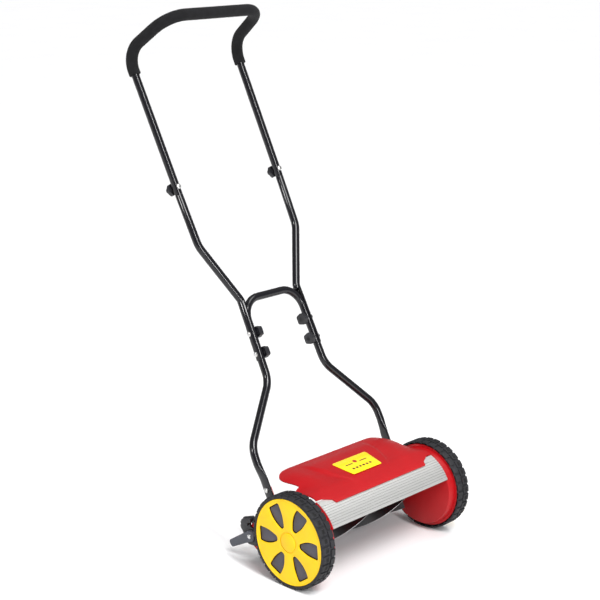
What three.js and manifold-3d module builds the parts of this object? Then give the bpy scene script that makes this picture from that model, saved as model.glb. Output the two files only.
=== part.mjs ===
// Hand-pushed reel mower. Millimetres, +Z up, X across the machine, -Y is the way it travels.
// Everything is laid out from the wheel axle, and the whole is then stood over the origin.
import * as THREE from "three";
import { mergeVertices } from "three/addons/utils/BufferGeometryUtils.js";
import Module from "manifold-3d";

const wasm = await Module();
wasm.setup();

// Driving dimensions
const gap = 0.3; // left between pieces that touch
const wheelRadius = 105;
const wheelOuterX = 246;
const wheelInnerX = 213;
const capRadius = 95.9;
const capDepth = 7;
const axleRadius = 6;
const plateInnerX = 193; // the side plates' faces that look at the reel
const plateThickness = 3;
const plateRadius = 97.6;
const plateDiscRadius = 88;
const gearModule = 3.25;
const ringTeeth = 50;
const pinionTeeth = 10;
const pressureAngle = THREE.MathUtils.degToRad(25);
const gearPlay = 0.5;
const reelRadius = 50;
const reelBlades = 5;
const reelHalfLength = 187;
const reelTwist = THREE.MathUtils.degToRad(-0.55); // turn of each blade per millimetre along the reel
const reelPhase = THREE.MathUtils.degToRad(-16.5); // where the first blade stands at the reel's middle
const reelDrop = THREE.MathUtils.degToRad(17.5); // how far the reel axis lies below level, behind the axle
const shaftRadius = 5;
const guardRadius = 92.5;
const guardThickness = 2;
const hoodThickness = 2.5;
const tubeRadius = 9;
const tubeBore = 7.8;
const coarseBore = 8.1; // a six-sided bore of about the same area as the round one
const foamRadius = 13.5;
const handleLean = THREE.MathUtils.degToRad(27.6); // from upright, to the rear
const handleBaseY = 63.3;
const rollerRadius = 20;
const rollerHalfLength = 183;
const leverPivot = { y: 155, z: 60 };
const rollerPlace = { y: 135, z: rollerRadius };
const boltRadius = 3;
const knobRadius = 14;
const armBossRadius = 7;
const rollerAxleRadius = 4;
const leverScrewRadius = 2.5;

const gearCentres = (gearModule * (ringTeeth - pinionTeeth)) / 2;
const reelPlace = {
  y: gearCentres * Math.cos(reelDrop),
  z: wheelRadius - gearCentres * Math.sin(reelDrop),
};

// Finishes
function finish(color, roughness, metalness = 0) {
  return new THREE.MeshStandardMaterial({ color, roughness, metalness });
}
const redPlastic = finish("#d6202a", 0.35);
const yellowPlastic = finish("#fbd91e", 0.4);
const greyPlastic = finish("#6a6872", 0.6);
const blackPlastic = finish("#1c1c1f", 0.5);
const rubber = finish("#2b2b2e", 0.85);
const foam = finish("#202022", 0.95);
const blackTube = finish("#121215", 0.2, 0.3);
const blackSteel = finish("#1a1a1c", 0.4, 0.5);
const brightSteel = finish("#c9c9cc", 0.3, 1);
const ribbedAluminium = finish("#d8d8d6", 0.35, 0.9);

// Solids: a closed geometry becomes a manifold solid to be joined or cut, and comes back as a geometry.
function toSolid(geometry) {
  const bare = geometry.index ? geometry.toNonIndexed() : geometry.clone();
  bare.deleteAttribute("normal");
  bare.deleteAttribute("uv");
  const merged = mergeVertices(bare, 1e-4);
  return new wasm.Manifold(
    new wasm.Mesh({
      numProp: 3,
      vertProperties: merged.attributes.position.array,
      triVerts: new Uint32Array(merged.index.array),
    }),
  );
}

function toGeometry(solid) {
  const { vertProperties, triVerts } = solid.getMesh();
  const geometry = new THREE.BufferGeometry();
  geometry.setAttribute("position", new THREE.BufferAttribute(vertProperties, 3));
  geometry.setIndex(new THREE.BufferAttribute(triVerts, 1));
  geometry.computeVertexNormals();
  return geometry;
}

function join(...pieces) {
  return toGeometry(pieces.map(toSolid).reduce((whole, piece) => whole.add(piece)));
}

function cut(piece, ...tools) {
  return toGeometry(tools.map(toSolid).reduce((left, tool) => left.subtract(tool), toSolid(piece)));
}

function common(piece, tool) {
  return toGeometry(toSolid(piece).intersect(toSolid(tool)));
}

// Outlines
function circle(radius, sides, y = 0, z = 0) {
  const points = [];
  for (let i = 0; i < sides; i++) {
    const turn = (2 * Math.PI * (i + 0.5)) / sides;
    points.push(new THREE.Vector2(y + radius * Math.cos(turn), z + radius * Math.sin(turn)));
  }
  return points;
}

function outline(points, ...holes) {
  const shape = new THREE.Shape(points);
  shape.holes = holes.map((hole) => new THREE.Path(hole));
  return shape;
}

// The polygon through the corners [a, b, radius], with each corner rounded by its radius.
function rounded(corners, steps = 4) {
  const points = [];
  corners.forEach(([a, b, radius], i) => {
    const corner = new THREE.Vector2(a, b);
    const before = new THREE.Vector2(...corners.at(i - 1).slice(0, 2)).sub(corner).normalize();
    const after = new THREE.Vector2(...corners[(i + 1) % corners.length].slice(0, 2)).sub(corner).normalize();
    if (!radius) {
      points.push(corner);
      return;
    }
    const half = Math.acos(THREE.MathUtils.clamp(before.dot(after), -1, 1)) / 2;
    const middle = before.clone().add(after).normalize();
    const centre = corner.clone().addScaledVector(middle, radius / Math.sin(half));
    const first = before.clone().multiplyScalar(radius / Math.tan(half)).add(corner).sub(centre);
    const turn = Math.PI - 2 * half;
    const way = Math.sign(after.cross(before)) || 1;
    for (let k = 0; k <= steps; k++) {
      points.push(first.clone().rotateAround(new THREE.Vector2(), (way * turn * k) / steps).add(centre));
    }
  });
  return points;
}

// A plate whose outline is in (y, z), from x0 to x1.
const acrossX = new THREE.Matrix4().makeBasis(
  new THREE.Vector3(0, 1, 0),
  new THREE.Vector3(0, 0, 1),
  new THREE.Vector3(1, 0, 0),
);
function plate(shape, x0, x1) {
  const geometry = new THREE.ExtrudeGeometry(shape, { depth: x1 - x0, bevelEnabled: false });
  return geometry.translate(0, 0, x0).applyMatrix4(acrossX);
}

// A plate whose outline is in (x, y), from z0 to z1.
function slab(shape, z0, z1) {
  const geometry = new THREE.ExtrudeGeometry(shape, { depth: z1 - z0, bevelEnabled: false });
  return geometry.translate(0, 0, z0);
}

// A body turned about the X axis from a closed outline of [radius, x] points.
function turned(profile, segments, y = 0, z = 0) {
  const points = profile.map(([radius, x]) => new THREE.Vector2(radius, x));
  if (THREE.ShapeUtils.area(points) < 0) points.reverse();
  points.push(points[0].clone());
  const geometry = new THREE.LatheGeometry(points, segments);
  return geometry.rotateZ(-Math.PI / 2).translate(0, y, z);
}

function rod(radius, x0, x1, sides = 12, y = 0, z = 0) {
  return plate(outline(circle(radius, sides, y, z)), x0, x1);
}

function block(x0, x1, y0, y1, z0, z1) {
  const geometry = new THREE.BoxGeometry(x1 - x0, y1 - y0, z1 - z0);
  return geometry.translate((x0 + x1) / 2, (y0 + y1) / 2, (z0 + z1) / 2);
}

// A line bent with a radius at each inner corner. It is met station by station, so a straight is one step.
class BentLine extends THREE.Curve {
  constructor(corners, radius, steps = 4) {
    super();
    const points = corners.map((corner) => new THREE.Vector3(...corner));
    this.stations = [points[0]];
    for (let i = 1; i < points.length - 1; i++) {
      const before = points[i - 1].clone().sub(points[i]).normalize();
      const after = points[i + 1].clone().sub(points[i]).normalize();
      const half = before.angleTo(after) / 2;
      const bend = Array.isArray(radius) ? radius[i - 1] : radius;
      const middle = before.clone().add(after).normalize();
      const centre = points[i].clone().addScaledVector(middle, bend / Math.sin(half));
      const first = before.clone().multiplyScalar(bend / Math.tan(half)).add(points[i]).sub(centre);
      const axis = after.clone().cross(before).normalize();
      for (let k = 0; k <= steps; k++) {
        const turn = ((Math.PI - 2 * half) * k) / steps;
        this.stations.push(first.clone().applyAxisAngle(axis, turn).add(centre));
      }
    }
    this.stations.push(points.at(-1));
  }

  getPoint(t) {
    const place = t * (this.stations.length - 1);
    const i = Math.min(Math.floor(place + 1e-9), this.stations.length - 2);
    return this.stations[i].clone().lerp(this.stations[i + 1], place - i);
  }

  getPointAt(t) {
    return this.getPoint(t);
  }

  getTangentAt(t) {
    const i = Math.round(t * (this.stations.length - 1));
    const here = this.stations[i];
    const tangent = new THREE.Vector3();
    if (i > 0) tangent.add(here.clone().sub(this.stations[i - 1]).normalize());
    if (i < this.stations.length - 1) tangent.add(this.stations[i + 1].clone().sub(here).normalize());
    return tangent.normalize();
  }
}

function tube(path, radius, bore, sides = 10, boreSides = 6) {
  const section = outline(circle(radius, sides), circle(bore, boreSides));
  return new THREE.ExtrudeGeometry(section, {
    steps: path.stations.length - 1,
    extrudePath: path,
    bevelEnabled: false,
  });
}

// Gears: involute flanks, with stub teeth because the pinion has so few.
function involute(angle) {
  return Math.tan(angle) - angle;
}

// Half the angle that one tooth (or, in a ring, one space) takes at a radius.
function halfTooth(teeth, radius, play) {
  const pitch = (gearModule * teeth) / 2;
  const base = pitch * Math.cos(pressureAngle);
  const there = Math.acos(Math.min(1, base / Math.max(radius, base)));
  return Math.PI / (2 * teeth) + play / (2 * pitch) + involute(pressureAngle) - involute(there);
}

function gearOutline(teeth, radii, play) {
  const points = [];
  for (let tooth = 0; tooth < teeth; tooth++) {
    const middle = (2 * Math.PI * tooth) / teeth - reelDrop;
    const turns = radii.map((radius) => [radius, halfTooth(teeth, radius, play)]);
    const rising = turns.map(([radius, half]) => [radius, middle - half]);
    const falling = turns.map(([radius, half]) => [radius, middle + half]).reverse();
    for (const [radius, turn] of [...rising, ...falling]) {
      points.push(new THREE.Vector2(radius * Math.cos(turn), radius * Math.sin(turn)));
    }
  }
  return points;
}

function pitchRadius(teeth) {
  return (gearModule * teeth) / 2;
}

// Scene graph
const mower = new THREE.Group();
const sides = {};
for (const [name, way] of [["left", -1], ["right", 1]]) {
  sides[name] = new THREE.Group();
  sides[name].scale.x = way;
  mower.add(sides[name]);
}

function add(group, name, geometry, material, place = {}) {
  const mesh = new THREE.Mesh(geometry, material);
  mesh.name = name;
  mesh.position.set(place.x ?? 0, place.y ?? 0, place.z ?? 0);
  group.add(mesh);
  return mesh;
}

function addBoth(group, name, geometry, material, place) {
  for (const side of ["left", "right"]) add(group[side], `${name}_${side}`, geometry, material, place);
}

// Wheels
const axleLevel = { z: wheelRadius };
const treadInner = 89;
const lipRadius = 98.8; // the tread's inner edge hangs over the side plate's flange
const lipX = 208.5;

function tyre() {
  const rimX = wheelOuterX - capDepth - 1;
  return turned([
    [treadInner, wheelInnerX],
    [lipRadius, wheelInnerX],
    [lipRadius, lipX],
    [wheelRadius - 3, lipX],
    [wheelRadius, lipX + 3],
    [wheelRadius, wheelOuterX - 4],
    [wheelRadius - 4, wheelOuterX],
    [capRadius + 2 * gap, wheelOuterX],
    [capRadius + 2 * gap, rimX],
    [treadInner, rimX],
  ], 48);
}

const webX = [231, 236];
const ringX = [215, 229];
const hubRadius = 20;

function wheelBody() {
  const rimRadius = treadInner - 3 * gap;
  const rimInner = pitchRadius(ringTeeth) + gearModule;
  const boreRadius = axleRadius + 2 * gap;
  const dish = turned([
    [boreRadius, 207],
    [hubRadius, 207],
    [hubRadius, webX[0]],
    [rimInner, webX[0]],
    [rimInner, wheelInnerX + 1],
    [rimRadius, wheelInnerX + 1],
    [rimRadius, webX[1]],
    [hubRadius + 4, webX[1]],
    [hubRadius + 4, webX[0] + 1],
    [boreRadius, webX[0] + 1],
  ], 32);
  const pitch = pitchRadius(ringTeeth);
  const teeth = gearOutline(ringTeeth, [pitch - 0.5 * gearModule, pitch + 0.95 * gearModule], gearPlay);
  const ring = plate(outline(circle(rimRadius - 1.5, 32), teeth), ...ringX);
  return join(dish, ring);
}

// One window of the cap: wide and curved at the rim, narrow at the hub, raked like a fan blade.
function capWindow(turn) {
  const corners = [
    [31, -5, 7],
    [60, -22, 60],
    [84, -19, 4],
    [87, 15, 5],
    [57, 13.5, 70],
    [33, 5, 7],
  ];
  return rounded(corners, 1).map((point) => point.rotateAround(new THREE.Vector2(), turn));
}

const capSides = 40;

function hubCap() {
  const windows = [];
  for (let i = 0; i < 6; i++) windows.push(capWindow((i * Math.PI) / 3));
  const face = plate(outline(circle(capRadius, capSides), ...windows), wheelOuterX - 4, wheelOuterX - 0.8);
  const lipRing = outline(circle(capRadius, capSides), circle(capRadius - 4, capSides));
  const lip = plate(lipRing, wheelOuterX - capDepth, wheelOuterX);
  const boss = rod(22, wheelOuterX - 4, wheelOuterX, 24);
  return join(face, lip, boss);
}

function retainingRing() {
  const ring = outline(circle(11, 16), circle(axleRadius - 0.6, 10));
  return plate(ring, webX[0] + 1 + gap, webX[0] + 2.8);
}

function axle() {
  return turned([
    [0, plateInnerX - 5],
    [10, plateInnerX - 5],
    [10, plateInnerX - gap],
    [axleRadius, plateInnerX - gap],
    [axleRadius, webX[0] + 1],
    [axleRadius - 1, webX[0] + 1],
    [axleRadius - 1, webX[0] + 3],
    [axleRadius, webX[0] + 3],
    [axleRadius, webX[1] + 1],
    [0, webX[1] + 1],
  ], 16);
}

addBoth(sides, "tyre", tyre(), rubber, axleLevel);
addBoth(sides, "wheel", wheelBody(), greyPlastic, axleLevel);
addBoth(sides, "hub_cap", hubCap(), yellowPlastic, axleLevel);
addBoth(sides, "retaining_ring", retainingRing(), brightSteel, axleLevel);
addBoth(sides, "axle", axle(), brightSteel, axleLevel);

// Side plates: each closes the gear side of its wheel, and has an ear for the leg and an arm for the roller
const bearingRadius = 13;
const plateOuterX = plateInnerX + plateThickness;
const flangeX = [209.4, wheelInnerX - 0.6];
const legPlate = { x0: plateOuterX + 1, x1: plateOuterX + 9, width: 24, low: 34, high: 118 };
const legBoltAt = 88;

// A point of the handle's own frame, given by how far up the handle it lies, as [y, z] of the machine.
function upHandle(along, rearward = 0) {
  return [
    handleBaseY + along * Math.sin(handleLean) + rearward * Math.cos(handleLean),
    wheelRadius + along * Math.cos(handleLean) - rearward * Math.sin(handleLean),
  ];
}

function handleStrip(width, low, high, corner) {
  return rounded([
    [...upHandle(low, -width / 2), corner],
    [...upHandle(low, width / 2), corner],
    [...upHandle(high, width / 2), corner],
    [...upHandle(high, -width / 2), corner],
  ]);
}

// A strip of the front guard's round, between two radii and two angles from upright
function guardBand(inner, outer, from, to) {
  const points = [];
  const steps = 8;
  for (const [radius, way] of [[outer, 1], [inner, -1]]) {
    for (let i = 0; i <= steps; i++) {
      const share = way > 0 ? i / steps : 1 - i / steps;
      const turn = from + (to - from) * share;
      points.push(new THREE.Vector2(-radius * Math.sin(turn), wheelRadius + radius * Math.cos(turn)));
    }
  }
  return points;
}

const guardTop = THREE.MathUtils.degToRad(27.5);
const guardEndTop = THREE.MathUtils.degToRad(21);
const guardLow = THREE.MathUtils.degToRad(64.5);

function sidePlate() {
  const dish = turned([
    [0, plateInnerX],
    [plateDiscRadius, plateInnerX],
    [plateDiscRadius + 4, flangeX[0]],
    [plateRadius, flangeX[0]],
    [plateRadius, flangeX[1]],
    [plateDiscRadius + 2.2, flangeX[1]],
    [plateDiscRadius - 1.8, plateOuterX],
    [0, plateOuterX],
  ], 40, 0, wheelRadius);
  const arm = plate(outline(rounded([
    [40, 33, 0],
    [140, 25, 14],
    [164, 40, 16],
    [168, 66, 24],
    [157, 92, 14],
    [80, 130, 0],
    [40, 120, 0],
  ])), plateInnerX, plateOuterX);
  const ear = plate(outline(handleStrip(12, 10, 96, 5)), plateInnerX, plateOuterX);
  const seatBand = outline(guardBand(84, guardRadius - gap, guardEndTop, guardLow));
  const guardSeat = plate(seatBand, plateInnerX, plateOuterX);
  const whole = join(dish, arm, ear, guardSeat);
  const legSlot = plate(outline(handleStrip(legPlate.width + 3, 22, 130, 0)), plateOuterX, wheelInnerX);
  const drill = [plateInnerX - 1, plateOuterX + 1];
  const axleHole = rod(axleRadius + gap, ...drill, 16, 0, wheelRadius);
  const bearingHole = rod(bearingRadius + 2 * gap, ...drill, 20, reelPlace.y, reelPlace.z);
  const pivotHole = rod(armBossRadius + 2 * gap, ...drill, 16, leverPivot.y, leverPivot.z);
  const boltHole = rod(boltRadius + gap, ...drill, 10, ...upHandle(legBoltAt));
  return cut(whole, legSlot, axleHole, bearingHole, pivotHole, boltHole);
}

addBoth(sides, "side_plate", sidePlate(), redPlastic);

// Reel: shaft, stars and helical blades, with a bearing in each side plate
const shaftEnd = 229;

function reelShaft() {
  const bar = turned([
    [0, -shaftEnd],
    [shaftRadius, -shaftEnd],
    [shaftRadius, shaftEnd],
    [0, shaftEnd],
  ], 14);
  const slots = [-1, 1].map((way) => block(way * 222 - 2.4, way * 222 + 2.4, -2.3, 2.3, -9, 9));
  return cut(bar, ...slots);
}

function twisted(geometry) {
  const place = geometry.attributes.position;
  for (let i = 0; i < place.count; i++) {
    const turn = reelTwist * place.getX(i);
    const y = place.getY(i);
    const z = place.getZ(i);
    place.setY(i, y * Math.cos(turn) - z * Math.sin(turn));
    place.setZ(i, y * Math.sin(turn) + z * Math.cos(turn));
  }
  return geometry;
}

const bladeInner = 31;

function bladeTurn(index) {
  return reelPhase + (2 * Math.PI * index) / reelBlades;
}

function reelBlade(index) {
  const section = outline([
    new THREE.Vector2(bladeInner, -1.4),
    new THREE.Vector2(reelRadius - 0.1, -1.4),
    new THREE.Vector2(reelRadius, -0.4),
    new THREE.Vector2(reelRadius - 3, 1.4),
    new THREE.Vector2(bladeInner, 1.4),
  ]);
  const run = { depth: 2 * reelHalfLength, steps: 22, bevelEnabled: false };
  const strip = new THREE.ExtrudeGeometry(section, run);
  strip.translate(0, 0, -reelHalfLength).applyMatrix4(acrossX);
  return twisted(strip).rotateX(bladeTurn(index));
}

function reelStar(x) {
  const points = [];
  for (let arm = 0; arm < reelBlades; arm++) {
    const middle = bladeTurn(arm) + reelTwist * x;
    const tip = bladeInner - gap;
    for (const [radius, offset] of [[13, -0.5], [tip, -0.17], [tip, 0.17], [13, 0.5]]) {
      const turn = middle + offset;
      points.push(new THREE.Vector2(radius * Math.cos(turn), radius * Math.sin(turn)));
    }
  }
  const star = plate(outline(points), x - 1.5, x + 1.5);
  const collar = rod(10, x - 5, x + 5, 16);
  return cut(join(star, collar), rod(shaftRadius + gap, x - 6, x + 6, 14));
}

function reelBearing() {
  const bore = shaftRadius + gap;
  return turned([
    [bore, plateInnerX - 3],
    [bearingRadius + 3, plateInnerX - 3],
    [bearingRadius + 3, plateInnerX - gap],
    [bearingRadius, plateInnerX - gap],
    [bearingRadius, plateOuterX + 4],
    [bore, plateOuterX + 4],
  ], 24);
}

function pinion() {
  const heights = [-1.02, -0.35, 0.25, 0.8]; // from root to tip, in modules from the pitch circle
  const radii = heights.map((height) => pitchRadius(pinionTeeth) + height * gearModule);
  const gear = plate(outline(gearOutline(pinionTeeth, radii, -gearPlay)), 216, 227);
  const neck = rod(11, 205, 216.5, 16);
  const bore = rod(shaftRadius + gap, 204, 228, 14);
  const ratchet = [];
  for (let tooth = 0; tooth < 6; tooth++) {
    for (const [radius, offset] of [[10.6, 0], [9.6, 0.12], [9.6, 0.8]]) {
      const turn = (Math.PI * tooth) / 3 + offset;
      ratchet.push(new THREE.Vector2(radius * Math.cos(turn), radius * Math.sin(turn)));
    }
  }
  return cut(join(gear, neck), bore, plate(outline(ratchet), 218.5, 228));
}

function pawl() {
  return block(222 - 2, 222 + 2, -1.9, 1.9, -8.4, 8.4);
}

const reelAxis = { y: reelPlace.y, z: reelPlace.z };
add(mower, "reel_shaft", reelShaft(), blackSteel, reelAxis);
for (let i = 0; i < reelBlades; i++) add(mower, `reel_blade_${i + 1}`, reelBlade(i), blackSteel, reelAxis);
[-150, 0, 150].forEach((x, i) => add(mower, `reel_star_${i + 1}`, reelStar(x), blackSteel, reelAxis));
addBoth(sides, "reel_bearing", reelBearing(), blackPlastic, reelAxis);
addBoth(sides, "pinion", pinion(), brightSteel, reelAxis);
addBoth(sides, "pawl", pawl(), brightSteel, reelAxis);

// Chassis: tie bars, bed knife and its bar, all between the side plates
const insideX = plateInnerX - gap;

function tieBar(radius) {
  return rod(radius, -insideX, insideX, 14);
}

function bedKnifeBar() {
  const section = outline(rounded([
    [98, 35.2, 0],
    [108, 35.2, 2],
    [108, 48, 2],
    [102, 48, 2],
    [102, 41, 2],
    [98, 41, 0],
  ], 2));
  return plate(section, -insideX, insideX);
}

function bedKnife() {
  const section = outline([
    new THREE.Vector2(64, 34.4),
    new THREE.Vector2(64.6, 32.2),
    new THREE.Vector2(108, 32.2),
    new THREE.Vector2(108, 34.9),
    new THREE.Vector2(68, 34.9),
  ]);
  return plate(section, -insideX, insideX);
}

add(mower, "front_tie_bar", tieBar(8), blackSteel, { y: -48, z: 150 });
add(mower, "rear_tie_bar", tieBar(5), blackSteel, { y: 124, z: 74 });
add(mower, "bed_knife_bar", bedKnifeBar(), blackSteel);
add(mower, "bed_knife", bedKnife(), brightSteel);

// Front guard: a curved aluminium strip round the front of the reel, with ends that reach further up
function frontGuard() {
  const inner = guardRadius - guardThickness;
  const band = plate(outline(guardBand(inner, guardRadius, guardTop, guardLow)), -insideX, insideX);
  const endBand = outline(guardBand(inner, guardRadius, guardEndTop, guardLow));
  const ends = [[-insideX, -150.6], [150.6, insideX]].map(([x0, x1]) => plate(endBand, x0, x1));
  return join(band, ...ends);
}

add(mower, "front_guard", frontGuard(), ribbedAluminium);

// Hood: a moulded cover that falls to the guard in front and spreads behind in two wings that droop
function hoodSection() {
  const top = [
    [-51, 185.8],
    [-45.5, 189.1],
    [-35, 193.9],
    [-26, 197.3],
    [-10, 203.8],
    [20, 209],
    [50, 213.5],
    [80, 214.5],
    [113, 211.2],
  ];
  const under = top.map(([y, z]) => [y + (y < -20 ? 0.9 : 0.4), z - hoodThickness]).reverse();
  return outline([...top, ...under].map(([y, z]) => new THREE.Vector2(y, z)));
}

function hoodPlan() {
  const half = [
    [insideX, -32, 0],
    [insideX, 32, 8],
    [174, 35, 3],
    [185, 112.7, 36],
  ];
  const other = half.map(([x, y, radius]) => [-x, y, radius]).reverse();
  return outline(rounded([
    [150, -52, 1],
    [154, -43, 2],
    [176, -33, 4],
    ...half,
    ...other,
    [-176, -33, 4],
    [-154, -43, 2],
    [-150, -52, 1],
  ]));
}

// How far the hood falls away towards its sides: not at all in front, where it lies on the guard
const wingDroop = { from: 125, bend: 0.0035, front: -32, back: 32 };

function droopAt(x, y) {
  const backward = THREE.MathUtils.smoothstep(y, wingDroop.front, wingDroop.back);
  return wingDroop.bend * Math.max(0, Math.abs(x) - wingDroop.from) ** 2 * backward;
}

function hood() {
  const run = { depth: 2 * insideX, steps: 16, bevelEnabled: false };
  const sheet = new THREE.ExtrudeGeometry(hoodSection(), run);
  sheet.translate(0, 0, -insideX).applyMatrix4(acrossX);
  const place = sheet.attributes.position;
  for (let i = 0; i < place.count; i++) {
    place.setZ(i, place.getZ(i) - droopAt(place.getX(i), place.getY(i)));
  }
  return common(sheet, slab(hoodPlan(), 150, 240));
}

function hoodLabel() {
  const slope = Math.atan2(9.7, 60);
  const geometry = slab(outline(rounded([
    [-47, -30, 5],
    [47, -30, 5],
    [56, 30, 5],
    [-56, 30, 5],
  ])), 0, 0.6);
  return geometry.rotateX(slope);
}

add(mower, "hood", hood(), redPlastic);
add(mower, "hood_label", hoodLabel(), yellowPlastic, { y: 20, z: 210.4 });

// Handle, in a group of its own: local Z runs up the handle, local Y is the face turned to the rear
const handle = new THREE.Group();
handle.position.set(0, handleBaseY, wheelRadius);
handle.rotation.x = -handleLean;
mower.add(handle);
const handleSides = {};
for (const [name, way] of [["left", -1], ["right", 1]]) {
  handleSides[name] = new THREE.Group();
  handleSides[name].scale.x = way;
  handle.add(handleSides[name]);
}

const loopTop = 504.5;
const loopHalf = 88;
const legs = { kneeX: 92.6, kneeAt: 314, footX: 203.5, footAt: 186, endX: 205, endAt: 112 };
const upperJoint = 771;
const upperBoltAt = 788;
const upperBoltX = 160.25;
const upperSplay = 5 / 342.7; // how far the upper tubes part for each millimetre up
const saddleBoltAt = [427, 379];
const saddle = { low: 364, high: 503, wall: 1.2 };
const spigotBore = 5.2;

function acrossHandle(radius, y0, y1, x, along, sides = 10) {
  const bar = slab(outline(circle(radius, sides)), y0, y1);
  return bar.rotateX(-Math.PI / 2).translate(x, 0, along);
}

function legX(along) {
  return loopHalf + ((legs.kneeX - loopHalf) * (loopTop - along)) / (loopTop - legs.kneeAt);
}

function mirrored(half) {
  return [...half, ...half.map(([x, y, z]) => [-x, y, z]).reverse()];
}

function lowerHandle() {
  const half = [
    [legs.endX, 0, legs.endAt],
    [legs.footX, 0, legs.footAt],
    [legs.kneeX, 0, legs.kneeAt],
    [loopHalf, 0, loopTop],
  ];
  const path = new BentLine(mirrored(half), [60, 60, 50, 50, 60, 60]);
  const feet = [-1, 1].map((way) => {
    const x = [way * legPlate.x0, way * legPlate.x1].sort((a, b) => a - b);
    const strip = outline(rounded([
      [-legPlate.width / 2, legPlate.low, 8],
      [legPlate.width / 2, legPlate.low, 8],
      [legPlate.width / 2, legPlate.high - 6, 2],
      [-legPlate.width / 2, legPlate.high - 6, 2],
    ]));
    return plate(strip, ...x);
  });
  const plugs = [-1, 1].map((way) => {
    const plug = slab(outline(circle(tubeRadius - 0.3, 10)), legs.endAt - 1, legs.endAt + 2);
    return plug.translate(way * legs.endX, 0, 0);
  });
  const holes = [legBoltAt, ...saddleBoltAt].flatMap((along) => [-1, 1].map((way) => {
    const x = way * (along === legBoltAt ? legs.endX : loopHalf);
    return rod(boltRadius + gap, x - 14, x + 14, 10, 0, along);
  }));
  return cut(join(tube(path, tubeRadius, coarseBore), ...feet, ...plugs), ...holes);
}

// The half-round saddle in which the loop's side lies, sheared to the loop's own splay
function saddleHalf(low, high, inner, outer) {
  const arc = [];
  for (const [radius, way] of [[outer, 1], [inner, -1]]) {
    for (let i = 0; i <= 6; i++) {
      const turn = way * (-Math.PI / 2 + (Math.PI * i) / 6);
      arc.push(new THREE.Vector2(radius * Math.cos(turn), radius * Math.sin(turn)));
    }
  }
  const splay = (legX(saddle.low) - legX(saddle.high)) / (saddle.high - saddle.low);
  const shear = new THREE.Matrix4().set(1, 0, -splay, legX(0), 0, 1, 0, 0, 0, 0, 1, 0, 0, 0, 0, 1);
  return slab(outline(arc), low, high).applyMatrix4(shear);
}

function midTube() {
  const saddleOuter = tubeRadius + saddle.wall + 2 * gap;
  const foot = saddle.high - 4;
  const jointX = loopHalf + 72;
  const shellPath = new BentLine([
    [legX(foot) + 1.2, 0, foot],
    [91.3, 0, 509],
    [156.3, 0, 647],
    [jointX, 0, upperJoint - gap],
  ], [12, 60]);
  const shell = tube(shellPath, tubeRadius, coarseBore);
  const spigotLow = [jointX - 8 * upperSplay, 0, upperJoint - 8];
  const spigotTop = [jointX + 48 * upperSplay, 0, upperJoint + 48];
  const spigot = tube(new BentLine([spigotLow, spigotTop], 0), tubeBore - 0.7, spigotBore);
  const collarTop = [jointX, 0, upperJoint - 3];
  const collar = tube(new BentLine([spigotLow, collarTop], 0), tubeRadius - 0.6, spigotBore);
  const shellHalf = saddleHalf(saddle.low, saddle.high, tubeRadius + 2 * gap, saddleOuter);
  const bridge = saddleHalf(saddle.high - 3, saddle.high, tubeRadius - 0.9, saddleOuter - 1);
  const holes = [
    acrossHandle(boltRadius + 2 * gap, -20, 20, upperBoltX, upperBoltAt),
    ...saddleBoltAt.map((along) => rod(boltRadius + gap, loopHalf, loopHalf + 20, 10, 0, along)),
  ];
  return cut(join(shell, collar, spigot, shellHalf, bridge), ...holes);
}

const gripBend = [165, 0, 1113.7];
const gripCorner = [144, -144.3, 1136.5];
const foamFrom = 1060;

function upperHandle() {
  const path = new BentLine(mirrored([[160, 0, upperJoint], gripBend, gripCorner]), [50, 58, 58, 50]);
  const holes = [-1, 1].map((way) =>
    acrossHandle(boltRadius + 2 * gap, -20, 20, way * upperBoltX, upperBoltAt));
  return cut(tube(path, tubeRadius, tubeBore, 10, 10), ...holes);
}

function foamGrip() {
  const path = new BentLine(mirrored([[164.2, 0, foamFrom], gripBend, gripCorner]), [50, 58, 58, 50]);
  return tube(path, foamRadius, tubeRadius + 3 * gap, 12, 10);
}

// Star knob on the X axis: neck towards the tube, five lobes outside
function starKnob(neckLength, starLength) {
  const lobes = [];
  for (let i = 0; i < 20; i++) {
    const radius = i % 4 < 2 ? knobRadius : knobRadius - 2.3;
    const turn = (2 * Math.PI * i) / 20;
    lobes.push(new THREE.Vector2(radius * Math.cos(turn), radius * Math.sin(turn)));
  }
  const star = plate(outline(lobes), neckLength, neckLength + starLength);
  const neck = rod(7.5, 0, neckLength + 1, 12);
  const thread = rod(boltRadius + gap, -1, neckLength + starLength - 4, 10);
  return cut(join(star, neck), thread);
}

// Bolt on the X axis: a domed head at x below 0 and a shank that runs to the given length
function bolt(length) {
  return turned([
    [0, -3],
    [boltRadius, -3],
    [2 * boltRadius, -1],
    [2 * boltRadius, 0],
    [boltRadius, 0],
    [boltRadius, length],
    [0, length],
  ], 8);
}

add(handle, "lower_handle", lowerHandle(), blackTube);
addBoth(handleSides, "mid_tube", midTube(), blackTube);
add(handle, "upper_handle", upperHandle(), blackTube);
add(handle, "foam_grip", foamGrip(), foam);

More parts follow.
